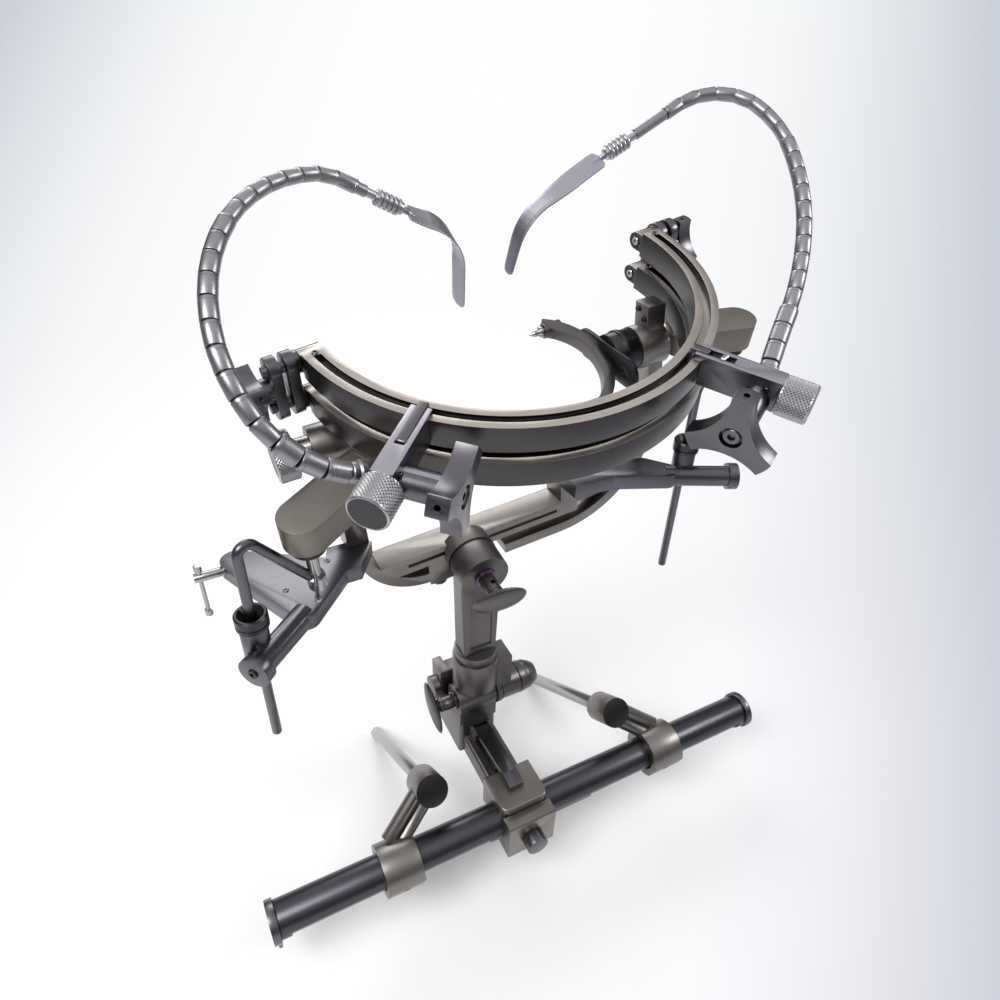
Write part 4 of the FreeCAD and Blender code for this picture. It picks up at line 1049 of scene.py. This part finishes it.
# %% Dress every solid that has no finer piece of its own
def dress(node, edge):
    piece = bpy.data.objects.new(node + "_dressed", frame["nodes"][node].data.copy())
    bpy.context.scene.collection.objects.link(piece)
    tools = tools_for(node)
    edit(piece)
    bpy.ops.mesh.select_all(action="SELECT")
    bpy.ops.mesh.remove_doubles(threshold=0.000001)
    bpy.ops.mesh.dissolve_limited(angle_limit=math.radians(0.6))
    done()
    carve(piece, *tools)
    bevel(piece, edge, 2, 38)
    hand_over(piece, finish_for(node), node)
    # Paint the highlight on upward faces and the shade on the drum end.
    for word, finish, test in PAINTED_LIGHT_AND_SHADE:
        if word in node:
            paint(piece, finish, test)


plain = sorted(set(frame["nodes"]) - MODELLED)
for node in plain:
    dress(node, 1.0 if "support_arm" in node else 0.5)
filler = brick(*POCKET_FILL)
peg = turned("peg", [(-3.4, 1.9), (-3.0, 2.3), (2.2, 2.3), (2.6, 1.9)], 32)
place(peg, seat(mm(162, 0, 3.4), (0.25, 1, 0), UP))
place(filler, CLAW_AT)
place(peg, CLAW_AT)
filler.name, peg.name = "right_bracket_top", "right_claw_peg"
# The filler takes the brackets' paler top finish, a painted highlight.
hand_over(filler, "blade", body=body_with("right_bracket"))
hand_over(peg, "polished", body=body_with("right_claw"))
print("dressed", len(plain))

# %% [markdown]
# ## Floor, light and camera
# The object was photographed on a pale sweep under broad soft light. A pool of
# light is painted on the floor: white in a fan that opens away from the camera,
# grey at its sides. Far from the object the camera sees a plain glow instead of the
# lit floor, as bright as the sweep in the photograph. The camera stands where the
# bar, rings and posts of the photograph meet.

# %% Floor
RIGHT, AHEAD = Vector((0.890, -0.4549, 0.0315)), Vector((0.381, 0.710, -0.590))
FAN_OFF, FAN_OPENS, FAN_WIDE, FAN_LEAST, FAN_FADE = 0.10, 0.75, 1.05, 0.9, 2.2
GLOW_FADE, GLOW_FROM = 1.1, 0.35

start_clean()
bpy.ops.mesh.primitive_plane_add(size=160, location=(0, 0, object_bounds()[0][2] - 0.0005))
floor = bpy.context.object
floor.name = "floor"
settle(floor)
sweep = Finish("pale sweep", 0.0, 0.75)
axes = sweep.make("ShaderNodeMapping", None, {
    "Vector": sweep.where(), "Rotation": (0, 0, math.atan2(AHEAD.x, AHEAD.y))})
sideways = sweep.make("ShaderNodeSeparateXYZ", None, {0: axes})
onward = Wire(sweep, sideways.socket.node.outputs["Y"])
width = sweep.make("ShaderNodeMath", {"operation": "MAXIMUM"}, {
    0: FAN_OPENS * onward + FAN_WIDE, 1: FAN_LEAST})
# A painted pool of light: white in a fan ahead of the camera, grey at its sides.
light_pool_across = (sideways + FAN_OFF) / width
light_pool_falloff = light_pool_across * light_pool_across * FAN_FADE
sweep.set(Base_Color=sweep.ramp(light_pool_falloff, [
    (0.0, (0.88, 0.875, 0.87)), (0.35, (0.82, 0.82, 0.825)), (1.0, (0.52, 0.53, 0.57))]))
# The far glow carries the same painted pool of light.
glow = sweep.make("ShaderNodeEmission", None, {"Color": sweep.ramp(light_pool_falloff, [
    (0.0, (1.0, 1.0, 1.0)), (0.30, (0.93, 0.94, 0.95)), (1.0, (0.60, 0.63, 0.69))])})
by_camera = sweep.make("ShaderNodeLightPath", out="Is Camera Ray")
away = sweep.make("ShaderNodeVectorMath", {"operation": "LENGTH"}, {0: sweep.where()}, "Value")
far = sweep.make("ShaderNodeClamp", None, {0: away * GLOW_FADE - GLOW_FROM})
both = sweep.make("ShaderNodeMixShader", None, {
    0: by_camera * far, 1: Wire(sweep, sweep.shader.outputs[0]), 2: glow})
sweep.tree.links.new(both.socket, sweep.tree.nodes["Material Output"].inputs[0])
floor.data.materials.append(sweep.material)

# %% World and lamps
world = bpy.data.worlds.new("soft room")
bpy.context.scene.world = world
world.use_nodes = True
sky = world.node_tree
back = sky.nodes["Background"]
back.inputs["Strength"].default_value = 1.0
room = sky.nodes.new("ShaderNodeTexCoord")
split = sky.nodes.new("ShaderNodeSeparateXYZ")
band = sky.nodes.new("ShaderNodeValToRGB")
sky.links.new(room.outputs["Generated"], split.inputs[0])
sky.links.new(split.outputs["Z"], band.inputs[0])
rays = sky.nodes.new("ShaderNodeLightPath")
choice = sky.nodes.new("ShaderNodeMix")
choice.data_type = "RGBA"
sky.links.new(rays.outputs["Is Camera Ray"], choice.inputs[0])
sky.links.new(band.outputs[0], choice.inputs[6])
choice.inputs[7].default_value = (0.78, 0.80, 0.84, 1)
sky.links.new(choice.outputs[2], back.inputs["Color"])
stops = band.color_ramp.elements
stops[0].position, stops[0].color = 0.0, (0.10, 0.10, 0.12, 1)
stops[1].position, stops[1].color = 1.0, (0.95, 0.95, 0.98, 1)
for at, tone in ((0.25, 0.16), (0.55, 0.45), (0.80, 0.90)):
    stop = stops.new(at)
    stop.color = (tone, tone, tone * 1.03, 1)

LAMPS_AIM = Vector((0.1, 0, 0.3))


def lamp(name, at, size, watts):
    light = bpy.data.lights.new(name, "AREA")
    light.shape, light.energy = "RECTANGLE", watts
    light.size, light.size_y = size, size * 0.6
    spot = bpy.data.objects.new(name, light)
    bpy.context.scene.collection.objects.link(spot)
    spot.location = at
    spot.rotation_euler = (Vector(at) - LAMPS_AIM).to_track_quat("Z", "Y").to_euler()


lamp("key", (-0.9, -0.5, 1.5), 0.9, 15)
lamp("fill", (1.4, -0.6, 1.1), 0.6, 8)
lamp("rim", (0.3, 1.4, 1.2), 1.2, 10)

# %% Camera
eye = bpy.data.cameras.new("camera")
eye.lens, eye.sensor_width = 27.0, 36.0
camera = bpy.data.objects.new("camera", eye)
bpy.context.scene.collection.objects.link(camera)
camera.matrix_world = seat((-0.1257, -0.4411, 0.6336), -AHEAD, RIGHT)
bpy.context.scene.camera = camera
bpy.context.scene.view_settings.view_transform = "Standard"

# %% Leave nothing selected
start_clean()
